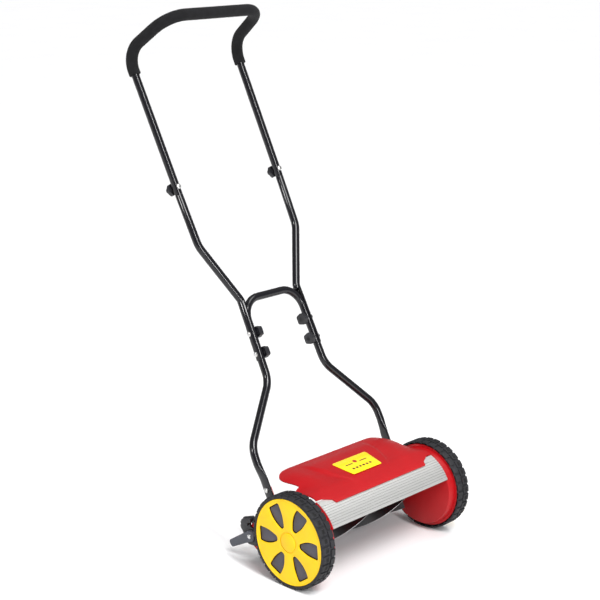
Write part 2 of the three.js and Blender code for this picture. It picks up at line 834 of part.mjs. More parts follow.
const knobs = [["middle", saddleBoltAt[0]], ["lower", saddleBoltAt[1]]];
for (const [side, group] of Object.entries(handleSides)) {
  for (const [level, along] of knobs) {
    const outside = legX(along) + tubeRadius + saddle.wall + 3 * gap;
    const boltMesh = add(group, `bolt_${level}_${side}`, bolt(32), brightSteel, { x: outside, z: along });
    boltMesh.rotation.z = Math.PI;
    const inside = legX(along) - tubeRadius - gap;
    const knobName = `knob_${level}_${side}`;
    const knobMesh = add(group, knobName, starKnob(3, 13), blackPlastic, { x: inside, z: along });
    knobMesh.rotation.z = Math.PI;
  }
  const front = -tubeRadius - gap;
  const place = { x: upperBoltX, z: upperBoltAt };
  const boltMesh = add(group, `bolt_upper_${side}`, bolt(29), brightSteel, { ...place, y: front });
  boltMesh.rotation.z = Math.PI / 2;
  const knobMesh = add(group, `knob_upper_${side}`, starKnob(2, 13), blackPlastic, { ...place, y: -front });
  knobMesh.rotation.z = Math.PI / 2;
  const legBolt = bolt(legPlate.x1 - plateInnerX + 1.6).rotateZ(Math.PI);
  add(group, `leg_bolt_${side}`, legBolt, brightSteel, { x: legPlate.x1 + gap, z: legBoltAt });
}

// Rear roller on two arms, set by the lever on the left
const armX = [185.5, 189.5];

function rollerArm() {
  const arm = plate(outline(rounded([
    [leverPivot.y - 4, leverPivot.z + 13, 10],
    [rollerPlace.y - 12, rollerPlace.z + 2, 10],
    [rollerPlace.y + 3, rollerPlace.z - 12, 10],
    [leverPivot.y + 13, leverPivot.z - 3, 12],
  ])), ...armX);
  const boss = rod(armBossRadius, armX[0], plateOuterX + 1, 16, leverPivot.y, leverPivot.z);
  const axleHole = rod(rollerAxleRadius + gap, armX[0] - 1, armX[1] + 1, 12, rollerPlace.y, rollerPlace.z);
  const screwHole = rod(leverScrewRadius + gap, armX[0] + 2, plateOuterX + 2, 10, leverPivot.y, leverPivot.z);
  return cut(join(arm, boss), axleHole, screwHole);
}

const rollerWall = 2.5;

// A moulded tube with a wall at each end, open round the axle
function roller() {
  const bore = rollerAxleRadius + 2 * gap;
  const inner = rollerRadius - rollerWall;
  const wallX = rollerHalfLength - rollerWall;
  return turned([
    [bore, -rollerHalfLength],
    [rollerRadius - 2, -rollerHalfLength],
    [rollerRadius, -rollerHalfLength + 2],
    [rollerRadius, rollerHalfLength - 2],
    [rollerRadius - 2, rollerHalfLength],
    [bore, rollerHalfLength],
    [bore, wallX],
    [inner, wallX],
    [inner, -wallX],
    [bore, -wallX],
  ], 28);
}

const bracketX = [-plateOuterX - 4.6, -plateOuterX - gap];
const leverX = [bracketX[0] - 6, bracketX[0] - 0.5];

function heightBracket() {
  const shape = outline(rounded([
    [138, 38, 6],
    [138, 70, 6],
    [150, 77, 2],
    [161, 79, 2],
    [161, 88, 3],
    [149, 92, 3],
    [150, 108, 4],
    [182, 97, 6],
    [193, 72, 8],
    [180, 56, 6],
    [168, 36, 8],
  ]), circle(13, 20, leverPivot.y, leverPivot.z));
  return plate(shape, ...bracketX);
}

function heightLever() {
  const shape = outline(rounded([
    [leverPivot.y - 3, leverPivot.z + 17.5, 12],
    [leverPivot.y - 17, leverPivot.z - 4.5, 12],
    [214.3, 15.7, 6],
    [223.5, 30.1, 6],
  ]));
  const blade = plate(shape, ...leverX);
  const boss = rod(11.5, leverX[1] - 1, -plateOuterX - 1 - gap, 20, leverPivot.y, leverPivot.z);
  const screwHole = rod(leverScrewRadius + gap, leverX[0] - 1, -plateOuterX, 10, leverPivot.y, leverPivot.z);
  return cut(join(blade, boss), screwHole);
}

function leverScrew() {
  return turned([
    [0, leverX[0] - 3],
    [4, leverX[0] - 3],
    [5.5, leverX[0] - 1.6],
    [5.5, leverX[0] - gap],
    [leverScrewRadius, leverX[0] - gap],
    [leverScrewRadius, -armX[0] - 3],
    [0, -armX[0] - 3],
  ], 12, leverPivot.y, leverPivot.z);
}

addBoth(sides, "roller_arm", rollerArm(), blackPlastic);
add(mower, "rear_roller", roller(), blackPlastic, rollerPlace);
add(mower, "roller_axle", rod(rollerAxleRadius, -armX[1], armX[1], 12), brightSteel, rollerPlace);
add(mower, "height_bracket", heightBracket(), blackPlastic);
add(mower, "height_lever", heightLever(), greyPlastic);
add(mower, "lever_screw", leverScrew(), brightSteel);

// Stand the machine on the ground, with the middle of its box over the origin.
mower.updateMatrixWorld(true);
const box = new THREE.Box3().setFromObject(mower, true);
mower.position.set(-(box.min.x + box.max.x) / 2, -(box.min.y + box.max.y) / 2, 0);

export default mower;
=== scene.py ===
import math

import bmesh
import bpy
from mathutils import Matrix, Vector


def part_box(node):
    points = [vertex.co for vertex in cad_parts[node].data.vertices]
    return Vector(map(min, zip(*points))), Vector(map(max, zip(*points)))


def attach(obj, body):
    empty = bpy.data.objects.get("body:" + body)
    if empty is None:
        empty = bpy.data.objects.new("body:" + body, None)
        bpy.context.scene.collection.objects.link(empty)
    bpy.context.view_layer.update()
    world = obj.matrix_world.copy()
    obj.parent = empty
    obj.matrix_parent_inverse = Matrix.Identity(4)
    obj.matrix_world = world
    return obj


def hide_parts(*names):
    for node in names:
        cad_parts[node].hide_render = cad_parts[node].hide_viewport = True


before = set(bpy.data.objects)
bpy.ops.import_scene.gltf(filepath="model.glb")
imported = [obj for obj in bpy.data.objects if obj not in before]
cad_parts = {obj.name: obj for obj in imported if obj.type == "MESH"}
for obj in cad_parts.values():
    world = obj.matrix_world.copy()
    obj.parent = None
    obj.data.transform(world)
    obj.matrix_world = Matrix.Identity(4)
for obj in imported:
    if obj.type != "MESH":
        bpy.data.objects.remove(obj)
scene = bpy.context.scene
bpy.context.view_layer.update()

tyreLow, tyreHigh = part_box("tyre_left")
axleRow = (tyreLow.y + tyreHigh.y) / 2  # where the wheel axle lies along the row's Y
toRow = Matrix.Translation((0, axleRow, 0)) @ Matrix.Scale(0.001, 4)
sides = {"left": -1, "right": 1}

machine = {
    "axleZ": 105,
    "innerX": 192.7,  # half the room between the side plates
    "reelY": 61.99,
    "reelZ": 85.45,
    "leverY": 155,
    "leverZ": 60,
    "handleY": 63.3,
    "lean": math.radians(27.6),
}
toHandle = (
    Matrix.Translation((0, machine["handleY"], machine["axleZ"]))
    @ Matrix.Rotation(-machine["lean"], 4, "X")
)


# Colours and nodes

def toLinear(hexText):
    levels = [int(hexText[i:i + 2], 16) / 255 for i in (1, 3, 5)]
    linear = [level / 12.92 if level <= 0.04045 else ((level + 0.055) / 1.055) ** 2.4 for level in levels]
    return linear + [1.0]


def perMillimetres(size):  # pattern scale for a feature of this size
    return 1000 / size


def addNode(tree, kind, values=None, links=None, **settings):
    node = tree.nodes.new("ShaderNode" + kind)
    for name, value in settings.items():
        setattr(node, name, value)
    for name, value in (values or {}).items():
        node.inputs[name].default_value = value
    for name, output in (links or {}).items():
        tree.links.new(output, node.inputs[name])
    return node


def newMaterial(name, colour, roughness, **sockets):
    material = bpy.data.materials.new(name)
    material.use_nodes = True
    shader = material.node_tree.nodes["Principled BSDF"]
    shader.inputs["Base Color"].default_value = toLinear(colour)
    shader.inputs["Roughness"].default_value = roughness
    for socket, value in sockets.items():
        shader.inputs[socket.replace("_", " ")].default_value = value
    return material, material.node_tree, shader


def objectPlace(tree, stretch=(1, 1, 1)):
    place = addNode(tree, "TexCoord")
    mapping = addNode(tree, "Mapping", {"Scale": stretch}, {"Vector": place.outputs["Object"]})
    return mapping.outputs["Vector"]


def noiseAt(tree, place, size, detail=2.0, roughness=0.5):
    values = {"Scale": perMillimetres(size), "Detail": detail, "Roughness": roughness}
    return addNode(tree, "TexNoise", values, {"Vector": place}).outputs["Fac"]


def remap(tree, factor, low, high, fromLow=0.3, fromHigh=0.7):
    values = {"From Min": fromLow, "From Max": fromHigh, "To Min": low, "To Max": high}
    return addNode(tree, "MapRange", values, {"Value": factor}).outputs["Result"]


def mixColours(tree, factor, first, second):
    node = addNode(tree, "Mix", data_type="RGBA")
    colourInputs = [socket for socket in node.inputs if socket.type == "RGBA"]
    for socket, colour in zip(colourInputs, (first, second)):
        if isinstance(colour, str):
            socket.default_value = toLinear(colour)
        else:
            tree.links.new(colour, socket)
    tree.links.new(factor, node.inputs[0])
    return next(socket for socket in node.outputs if socket.type == "RGBA")


def bumpFrom(tree, height, depth, strength=1.0, below=None):  # depth in millimetres
    links = {"Height": height}
    if below is not None:
        links["Normal"] = below
    values = {"Strength": strength, "Distance": depth / 1000}
    return addNode(tree, "Bump", values, links).outputs["Normal"]


# Finishes

def mouldedAbs(name, colour, paler, darker, roughness):
    # injection-moulded ABS: even colour, faint flow clouding, and a very fine skin that softens highlights
    material, tree, shader = newMaterial(name, colour, roughness, IOR=1.4)
    place = objectPlace(tree)
    clouds = remap(tree, noiseAt(tree, place, 70, 3), 0, 1)
    mottle = remap(tree, noiseAt(tree, place, 6, 2), 0, 1)
    body = mixColours(tree, clouds, colour, darker)
    lifted = mixColours(tree, remap(tree, mottle, 0, 0.25, 0, 1), body, paler)
    tree.links.new(lifted, shader.inputs["Base Color"])
    tree.links.new(remap(tree, mottle, roughness - 0.04, roughness + 0.05, 0, 1), shader.inputs["Roughness"])
    skin = noiseAt(tree, place, 1.1, 2)
    tree.links.new(bumpFrom(tree, skin, 0.012, 0.2), shader.inputs["Normal"])
    return material


def grainedPlastic(name, colour, darker, roughness, grain=1.0, depth=0.12):
    # glass-filled nylon and polypropylene: dull, with the spark-eroded grain of the mould
    material, tree, shader = newMaterial(name, colour, roughness, IOR=1.5)
    place = objectPlace(tree)
    clouds = remap(tree, noiseAt(tree, place, 25, 3), 0, 1)
    tree.links.new(mixColours(tree, clouds, colour, darker), shader.inputs["Base Color"])
    pits = noiseAt(tree, place, grain, 3, 0.6)
    tree.links.new(remap(tree, pits, roughness - 0.08, roughness + 0.1), shader.inputs["Roughness"])
    tree.links.new(bumpFrom(tree, pits, depth, 0.6), shader.inputs["Normal"])
    return material


def tyreRubber(name, colour, bloomed):
    # moulded rubber: near black with a grey bloom, dusty patches and a slightly rough skin
    material, tree, shader = newMaterial(name, colour, 0.75, IOR=1.45)
    place = objectPlace(tree)
    bloom = remap(tree, noiseAt(tree, place, 30, 4, 0.6), 0, 1)
    tree.links.new(mixColours(tree, bloom, colour, bloomed), shader.inputs["Base Color"])
    skin = noiseAt(tree, place, 1.8, 4, 0.6)
    tree.links.new(remap(tree, skin, 0.58, 0.8), shader.inputs["Roughness"])
    tree.links.new(bumpFrom(tree, skin, 0.35, 0.7), shader.inputs["Normal"])
    return material


def closedCellFoam():
    # extruded closed-cell foam: dull charcoal
    # the cells are drawn 1.6 mm across, coarser than real, so that they show
    material, tree, shader = newMaterial(
        "closed-cell foam", "#101012", 0.95, IOR=1.33, Sheen_Weight=0.03, Sheen_Roughness=0.6)
    place = objectPlace(tree)
    cells = addNode(tree, "TexVoronoi", {"Scale": perMillimetres(1.6)}, {"Vector": place}).outputs["Distance"]
    patches = remap(tree, noiseAt(tree, place, 14, 3), 0, 1)
    cloudy = mixColours(tree, patches, "#0d0d0f", "#161619")
    # painted shade: the colour darkens towards each cell's pit, where the bump below sinks
    cellPitShade = mixColours(tree, remap(tree, cells, 0.6, 0, 0, 0.5), cloudy, "#08080a")
    tree.links.new(cellPitShade, shader.inputs["Base Color"])
    soft = bumpFrom(tree, noiseAt(tree, place, 9, 2), 0.5, 0.5)
    tree.links.new(bumpFrom(tree, cells, 0.45, 0.8, soft), shader.inputs["Normal"])
    return material


def blackPowderCoat(name, colour, roughness, coat):
    # powder coat baked on steel: deep black gloss with a faint orange-peel ripple
    material, tree, shader = newMaterial(
        name, colour, roughness, IOR=1.5, Coat_Weight=coat, Coat_Roughness=0.1, Coat_IOR=1.5)
    place = objectPlace(tree)
    drift = remap(tree, noiseAt(tree, place, 40, 3), 0, 1)
    tree.links.new(mixColours(tree, drift, colour, "#0c0b11"), shader.inputs["Base Color"])
    peel = noiseAt(tree, place, 2.4, 1)
    tree.links.new(remap(tree, peel, roughness - 0.03, roughness + 0.06), shader.inputs["Roughness"])
    tree.links.new(bumpFrom(tree, peel, 0.01, 0.4), shader.inputs["Normal"])
    return material


def drawnMetal(name, colour, darker, roughness, lineWidth, metallic=1.0):
    # metal drawn or ground along the machine's width: fine streaks that run along X
    material, tree, shader = newMaterial(name, colour, roughness, Metallic=metallic)
    place = objectPlace(tree, (0.02, 1, 1))
    streaks = noiseAt(tree, place, lineWidth, 3, 0.6)
    tree.links.new(mixColours(tree, remap(tree, streaks, 0, 1), darker, colour), shader.inputs["Base Color"])
    tree.links.new(remap(tree, streaks, roughness + 0.1, roughness - 0.06), shader.inputs["Roughness"])
    tree.links.new(bumpFrom(tree, streaks, 0.05, 0.5), shader.inputs["Normal"])
    return material


def zincPlate():
    # bright zinc: pale grey metal with faint straw and blue patches
    material, tree, shader = newMaterial("zinc-plated steel", "#c6c7ca", 0.3, Metallic=1.0)
    place = objectPlace(tree)
    patches = remap(tree, noiseAt(tree, place, 5, 3), 0, 1)
    tree.links.new(mixColours(tree, patches, "#d8d9dd", "#cac9c4"), shader.inputs["Base Color"])
    fine = noiseAt(tree, place, 0.9, 2)
    tree.links.new(remap(tree, fine, 0.22, 0.4), shader.inputs["Roughness"])
    tree.links.new(bumpFrom(tree, fine, 0.04, 0.5), shader.inputs["Normal"])
    return material


def printedFilm(name, colour, darker):
    # printed vinyl: flat colour under a smooth clear film
    material, tree, shader = newMaterial(name, colour, 0.3, IOR=1.49, Coat_Weight=0.5, Coat_Roughness=0.08)
    place = objectPlace(tree)
    grain = remap(tree, noiseAt(tree, place, 3, 3), 0, 1)
    tree.links.new(mixColours(tree, grain, colour, darker), shader.inputs["Base Color"])
    ripple = noiseAt(tree, place, 12, 1)
    tree.links.new(bumpFrom(tree, ripple, 0.1, 0.3), shader.inputs["Normal"])
    return material


finishes = {
    "red": mouldedAbs("red satin ABS", "#aa050f", "#af0913", "#a1030c", 0.4),
    "yellow": mouldedAbs("yellow satin ABS", "#f4c600", "#f6ca08", "#edbe00", 0.45),
    "wheelGrey": grainedPlastic("grey polypropylene", "#4b4852", "#434049", 0.6),
    # painted shade: the wheel web behind the window pads is coloured darker to show the shade in the gaps
    # round the hub cap's windows
    "wheelWebShade": grainedPlastic("grey polypropylene painted darker as shade", "#242328", "#1c1b20", 0.6),
    "leverGrey": grainedPlastic("grey glass-filled nylon", "#4c4f58", "#43464e", 0.55),
    "blackNylon": grainedPlastic("black glass-filled nylon", "#121216", "#1a1a20", 0.4),
    "tyre": tyreRubber("moulded tyre rubber", "#141417", "#222227"),
    # painted shade: the floors of the tread pits are coloured near black for the shade inside them
    "tyrePitShade": tyreRubber("tread pit rubber painted darker as shade", "#060607", "#0a0a0b"),
    "foam": closedCellFoam(),
    "tube": blackPowderCoat("black gloss powder coat", "#07060d", 0.13, 0.0),
    "steelBlack": blackPowderCoat("black satin paint", "#0d0d0f", 0.4, 0.3),
    "ground": drawnMetal("ground steel edge", "#e4e4e6", "#b4b4b8", 0.25, 0.5),
    "aluminium": drawnMetal("mill-finish aluminium extrusion", "#e6e6e4", "#cfcfcd", 0.42, 0.8, 0.85),
    # painted shade: the groove floors are coloured darker, with less metal and more roughness, to show the
    # shade in the fine grooves
    "grooveShadeAluminium": drawnMetal("aluminium painted darker in the grooves as shade", "#a4a4a2", "#8e8e8c", 0.6, 0.8, 0.4),
    "zinc": zincPlate(),
    "label": printedFilm("yellow printed film", "#fbdc08", "#f5d404"),
    "printDark": printedFilm("dark printing ink", "#5a2410", "#4a1c0c"),
    "printRed": printedFilm("red printing ink", "#b01c14", "#9c1510"),
}
print("finishes made:", len(finishes))


# Shapes

def pieceFrom(bm, name, body, materials, replaced, place=toRow, smooth=32):
    bmesh.ops.transform(bm, matrix=place, verts=bm.verts)
    mesh = bpy.data.meshes.new(name)
    bm.to_mesh(mesh)
    bm.free()
    for material in materials:
        mesh.materials.append(finishes[material])
    mesh.shade_smooth()
    mesh.set_sharp_from_angle(angle=math.radians(smooth))
    piece = bpy.data.objects.new(name, mesh)
    scene.collection.objects.link(piece)
    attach(piece, body)
    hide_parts(*replaced)
    return piece


def weld(bm, reach=0.01):
    bmesh.ops.remove_doubles(bm, verts=bm.verts, dist=reach)
    bmesh.ops.recalc_face_normals(bm, faces=bm.faces)


def softenEdges(bm, width, segments=2, minAngle=30, keep=None):
    sharp = [
        edge for edge in bm.edges
        if len(edge.link_faces) == 2
        and edge.calc_face_angle(0) > math.radians(minAngle)
        and (keep is None or keep(edge))
    ]
    bmesh.ops.bevel(
        bm, geom=sharp, offset=width, offset_type="OFFSET", affect="EDGES", segments=segments,
        profile=0.5, material=-1, loop_slide=False, clamp_overlap=True)


def lathe(profile, steps, y=0.0, z=0.0):
    # a closed outline of (radius, x) turned about the X axis
    bm = bmesh.new()
    verts = [bm.verts.new((x, 0, radius)) for radius, x in profile]
    edges = [bm.edges.new(pair) for pair in zip(verts, verts[1:] + verts[:1])]
    bmesh.ops.spin(
        bm, geom=verts + edges, cent=(0, 0, 0), axis=(1, 0, 0), angle=2 * math.pi, steps=steps,
        use_merge=True)
    weld(bm)
    bmesh.ops.dissolve_degenerate(bm, edges=bm.edges, dist=0.001)
    bmesh.ops.translate(bm, vec=(0, y, z), verts=bm.verts)
    return bm


def circlePoints(radius, count, y=0.0, z=0.0, start=0.0):
    turns = [start + 2 * math.pi * i / count for i in range(count)]
    return [(y + radius * math.cos(turn), z + radius * math.sin(turn)) for turn in turns]


def rounded(corners, steps=8):
    # the polygon through corners (a, b, radius), each corner rounded by its radius
    points = []
    for i, (a, b, radius) in enumerate(corners):
        corner = Vector((a, b))
        before = (Vector(corners[i - 1][:2]) - corner).normalized()
        after = (Vector(corners[(i + 1) % len(corners)][:2]) - corner).normalized()
        if not radius:
            points.append(tuple(corner))
            continue
        half = math.acos(max(-1, min(1, before.dot(after)))) / 2
        centre = corner + (before + after).normalized() * radius / math.sin(half)
        first = corner + before * radius / math.tan(half) - centre
        way = 1 if after.cross(before) > 0 else -1
        for k in range(steps + 1):
            turn = Matrix.Rotation(way * (math.pi - 2 * half) * k / steps, 2)
            points.append(tuple(turn @ first + centre))
    return points


def flatFace(bm, outlines, lift):
    edges = []
    for outline in outlines:
        verts = [bm.verts.new(lift(a, b)) for a, b in outline]
        edges += [bm.edges.new(pair) for pair in zip(verts, verts[1:] + verts[:1])]
    bmesh.ops.triangle_fill(bm, edges=edges, use_beauty=True, use_dissolve=False)


def plate(outlines, x0, x1, edge=0.6, segments=2):
    # a plate whose outlines (the first one outside, the rest holes) are in (y, z), from x0 to x1
    bm = bmesh.new()
    flatFace(bm, outlines, lambda y, z: (x0, y, z))
    thicken(bm, Vector((x1 - x0, 0, 0)))
    if edge:
        softenEdges(bm, edge, segments)
    return bm


def slab(outlines, z0, z1, edge=0.6, segments=2):
    # a plate whose outlines are in (x, y), from z0 to z1
    bm = bmesh.new()
    flatFace(bm, outlines, lambda x, y: (x, y, z0))
    thicken(bm, Vector((0, 0, z1 - z0)))
    if edge:
        softenEdges(bm, edge, segments)
    return bm


def thicken(bm, reach):
    made = bmesh.ops.extrude_face_region(bm, geom=bm.faces[:], use_keep_orig=True)
    moved = [item for item in made["geom"] if isinstance(item, bmesh.types.BMVert)]
    bmesh.ops.translate(bm, vec=reach, verts=moved)
    weld(bm, 0.001)


def rod(radius, x0, x1, sides=32, y=0.0, z=0.0, edge=0.5):
    bm = bmesh.new()
    place = Matrix.Translation(((x0 + x1) / 2, y, z)) @ Matrix.Rotation(math.pi / 2, 4, "Y")
    bmesh.ops.create_cone(
        bm, cap_ends=True, segments=sides, radius1=radius, radius2=radius, depth=abs(x1 - x0), matrix=place)
    if edge:
        softenEdges(bm, edge, 2, 60)
    return bm


def merge(bm, *others):
    for other in others:
        mesh = bpy.data.meshes.new("spare")
        other.to_mesh(mesh)
        other.free()
        bm.from_mesh(mesh)
        bpy.data.meshes.remove(mesh)
    return bm


def handed(bm, way):  # pieces are drawn for the right side, and mirrored for the left
    if way < 0:
        bmesh.ops.scale(bm, vec=(-1, 1, 1), verts=bm.verts)
        bmesh.ops.reverse_faces(bm, faces=bm.faces)
    return bm


def paint(bm, index, chosen):
    for face in bm.faces:
        if chosen(face):
            face.material_index = index


def radiusOf(point, y=0.0, z=0.0):
    return math.hypot(point.y - y, point.z - z)


# Tubes: a ring is pushed along each straight and swung round each bend

def movedEdges(made):
    fresh = {item for item in made if isinstance(item, bmesh.types.BMVert)}
    return [
        item for item in made
        if isinstance(item, bmesh.types.BMEdge) and all(vert in fresh for vert in item.verts)
    ]


def pushRing(bm, ring, reach, scale=None):
    made = bmesh.ops.extrude_edge_only(bm, edges=ring)["geom"]
    verts = [item for item in made if isinstance(item, bmesh.types.BMVert)]
    if scale:
        middle = sum((vert.co for vert in verts), Vector()) / len(verts)
        bmesh.ops.scale(bm, vec=scale, verts=verts, space=Matrix.Translation(-middle))
    bmesh.ops.translate(bm, vec=reach, verts=verts)
    return movedEdges(made)


def swingRing(bm, ring, centre, axis, angle, steps):
    verts = list({vert for edge in ring for vert in edge.verts})
    made = bmesh.ops.spin(bm, geom=ring + verts, cent=centre, axis=axis, angle=angle, steps=steps)
    return [item for item in made["geom_last"] if isinstance(item, bmesh.types.BMEdge)]


def bentTube(corners, bends, radius, sides=32, steps=14):
    points = [Vector(corner) for corner in corners]
    first = (points[1] - points[0]).normalized()
    place = Matrix.Translation(points[0]) @ first.to_track_quat("Z", "Y").to_matrix().to_4x4()
    bm = bmesh.new()
    bmesh.ops.create_circle(bm, cap_ends=False, segments=sides, radius=radius, matrix=place)
    start = bm.edges[:]
    ring = start
    here = points[0]
    for i, bend in enumerate(bends, 1):
        before = (here - points[i]).normalized()
        after = (points[i + 1] - points[i]).normalized()
        half = before.angle(after) / 2
        reach = bend / math.tan(half)
        ring = pushRing(bm, ring, points[i] + before * reach - here)
        centre = points[i] + (before + after).normalized() * bend / math.sin(half)
        ring = swingRing(bm, ring, centre, after.cross(before).normalized(), math.pi - 2 * half, steps)
        here = points[i] + after * reach
    ring = pushRing(bm, ring, points[-1] - here)
    return bm, start, ring


def closeTube(bm, *rings, edge=0.8):
    for ring in rings:
        bmesh.ops.edgeloop_fill(bm, edges=ring)
    weld(bm, 0.001)
    if edge:
        softenEdges(bm, edge, 2, 60)
    return bm


def mirroredPath(half):
    return list(half) + [(-x, y, z) for x, y, z in reversed(half)]


# Wheels

tyreShape = {
    "radius": 105, "grooveRadius": 102.2, "inner": 89, "innerX": 213, "x0": 208.5, "x1": 246, "seatX": 238,
    "seatRadius": 96.5, "lipRadius": 98.8, "groove": (222.5, 226), "pits": (230.5, 238.5),
    "lugs": 32, "parts": 8, "pitDepth": 1.7,
}


def tyre():
    sizes = tyreShape
    top = sizes["grooveRadius"]
    x0, x1 = sizes["x0"], sizes["x1"]
    inner, lip, seat = sizes["inner"], sizes["lipRadius"], sizes["seatRadius"]
    innerX, seatX = sizes["innerX"], sizes["seatX"]
    profile = [(inner, innerX), (lip, innerX), (lip, x0 + 0.4), (lip + 0.4, x0), (top - 2, x0)]
    profile += [(top, x) for x in (x0 + 2, *sizes["groove"], *sizes["pits"], x1 - 3.5, x1 - 1.5)]
    profile += [(top - 2, x1), (seat + 0.6, x1), (seat, x1 - 0.6), (seat, seatX), (inner, seatX)]
    bm = lathe(profile, sizes["lugs"] * sizes["parts"])

    def lugShare(face):
        centre = face.calc_center_median()
        turn = math.atan2(centre.z, centre.y) / (2 * math.pi) * sizes["lugs"]
        shift = 0.0 if centre.x > (x0 + x1) / 2 else 0.5
        return centre, (turn + shift) % 1.0

    lugFaces = []
    for face in bm.faces:
        centre, share = lugShare(face)
        outside = radiusOf(centre) > top - 5 and (abs(face.normal.x) < 0.9 or radiusOf(centre) > top - 2.5)
        inRow = not sizes["groove"][0] < centre.x < sizes["groove"][1]
        if outside and inRow and 0.16 < share < 0.84:
            lugFaces.append(face)
    growth = sizes["radius"] - top
    made = bmesh.ops.extrude_face_region(bm, geom=lugFaces)["geom"]
    for vert in [item for item in made if isinstance(item, bmesh.types.BMVert)]:
        radius = radiusOf(vert.co)
        share = min(1.0, max(0.0, (radius - (top - 6.6)) / 4.6))
        grown = (radius + growth * share) / radius
        vert.co.y *= grown
        vert.co.z *= grown
    bmesh.ops.delete(bm, geom=lugFaces, context="FACES")
    bmesh.ops.recalc_face_normals(bm, faces=bm.faces)

    pits = []
    for face in bm.faces:
        centre, share = lugShare(face)
        nearTop = radiusOf(centre) > sizes["radius"] - 1
        if nearTop and sizes["pits"][0] < centre.x < sizes["pits"][1] and 0.3 < share < 0.7:
            pits.append(face)
    bmesh.ops.inset_region(bm, faces=pits, thickness=0.5, depth=-sizes["pitDepth"], use_even_offset=True)
    # the pit floors take the near-black rubber as painted shade
    for face in pits:
        face.material_index = 1
    softenEdges(bm, 0.45, 1, 40)
    bmesh.ops.translate(bm, vec=(0, 0, machine["axleZ"]), verts=bm.verts)
    return bm


wheelShape = {
    "capRadius": 95.9, "faceX": 245.2, "backX": 242.6, "lipX": 246, "lipBackX": 239,
    "boss": 19.6, "bossGroove": 23.4, "windows": 6, "padX": 242.2, "padInset": 2.4,
    "bore": 6.6, "hub": 20, "hubX": 207, "rim": 88.1, "rimX": 214, "gearRadius": 84.5, "gearX": 231,
    "webX": 236, "hollow": 24, "hollowX": 232,
}
windowCorners = [(31, -5, 7), (60, -22, 60), (84, -19, 4), (87, 15, 5), (57, 13.5, 70), (33, 5, 7)]


def windowOutline(index, inset=0.0):
    turn = Matrix.Rotation(index * 2 * math.pi / wheelShape["windows"], 2)
    points = [Vector(point) for point in rounded(windowCorners, 6)]
    middle = sum(points, Vector((0, 0))) / len(points)
    if inset:
        points = [point + (middle - point).normalized() * inset for point in points]
    return [tuple(turn @ point) for point in points]


def hubCap():
    sizes = wheelShape
    rim, face, lip = sizes["capRadius"], sizes["faceX"], sizes["lipX"]
    outlines = [circlePoints(rim - 2.5, 120), circlePoints(sizes["bossGroove"], 72)]
    outlines += [windowOutline(i) for i in range(sizes["windows"])]
    bm = plate(outlines, sizes["backX"], face, 0.55, 3)
    edge = lathe([
        (rim - 4.2, sizes["lipBackX"]), (rim, sizes["lipBackX"]), (rim, lip - 0.8), (rim - 0.8, lip),
        (rim - 2.6, lip), (rim - 4.2, face - 0.4),
    ], 120)
    top, foot, back = sizes["boss"], sizes["bossGroove"] + 0.6, sizes["backX"] + 0.4
    boss = lathe([
        (0, lip), (top, lip), (top + 1.2, lip - 0.5), (top + 1.8, face - 1.4), (foot, face - 1.6),
        (foot, back), (0, back),
    ], 72)
    merge(bm, edge, boss)
    bmesh.ops.translate(bm, vec=(0, 0, machine["axleZ"]), verts=bm.verts)
    return bm


def wheelBody():
    sizes = wheelShape
    bore, hub, rim, gear = sizes["bore"], sizes["hub"], sizes["rim"], sizes["gearRadius"]
    bm = lathe([
        (bore, sizes["hubX"]), (hub, sizes["hubX"]), (hub, sizes["gearX"]), (gear, sizes["gearX"]),
        (gear, sizes["rimX"]), (rim, sizes["rimX"]), (rim, sizes["webX"]), (sizes["hollow"], sizes["webX"]),
        (sizes["hollow"], sizes["hollowX"]), (bore, sizes["hollowX"]),
    ], 96)
    softenEdges(bm, 0.5, 2, 50)
    # the web's outer faces take the darker grey, painted shade that outlines each window
    paint(bm, 1, lambda face: face.calc_center_median().x > sizes["webX"] - 1)
    windows = [windowOutline(i, sizes["padInset"]) for i in range(sizes["windows"])]
    merge(bm, *[plate([window], sizes["webX"] - 1, sizes["padX"], 0.5, 2) for window in windows])
    bmesh.ops.translate(bm, vec=(0, 0, machine["axleZ"]), verts=bm.verts)
    return bm


for side, way in sides.items():
    for make, stem, slotName, materials in (
        (tyre, "tyre", "tyre_rubber", ["tyre", "tyrePitShade"]),
        (wheelBody, "wheel", "grey_plastic", ["wheelGrey", "wheelWebShade"]),
        (hubCap, "hub_cap", "yellow_plastic", ["yellow"]),
    ):
        name = stem + "_" + side
        pieceFrom(handed(make(), way), name + "_shell", "wheel_" + side, materials, [name])
print("wheels made")


# Side plates: a dish behind each wheel, with an ear for the handle's leg and an arm for the roller

plateShape = {
    "x0": 193, "x1": 196, "disc": 88, "rimX": 212.4, "radius": 97.6,
    "ear": (12, 10, 96, 5),  # width, low end, high end, corner radius, on the handle's line
    "seatRadii": (92.2, 84), "seatAngles": (21, 64.5), "screwY": 57, "screwZ": 67,
}


def upHandle(along, rearward=0.0):
    return tuple((toHandle @ Vector((0, rearward, along))).yz)


def handleStrip(width, low, high, radius):
    corners = [(low, -width / 2), (low, width / 2), (high, width / 2), (high, -width / 2)]
    return rounded([(*upHandle(along, across), radius) for along, across in corners], 5)


def guardPoint(radius, degrees):  # round the wheel axle, from straight up towards the front
    turn = math.radians(degrees)
    return (-radius * math.sin(turn), machine["axleZ"] + radius * math.cos(turn))


def guardArc(radius, start, end, steps):
    return [guardPoint(radius, start + i * (end - start) / steps) for i in range(steps + 1)]


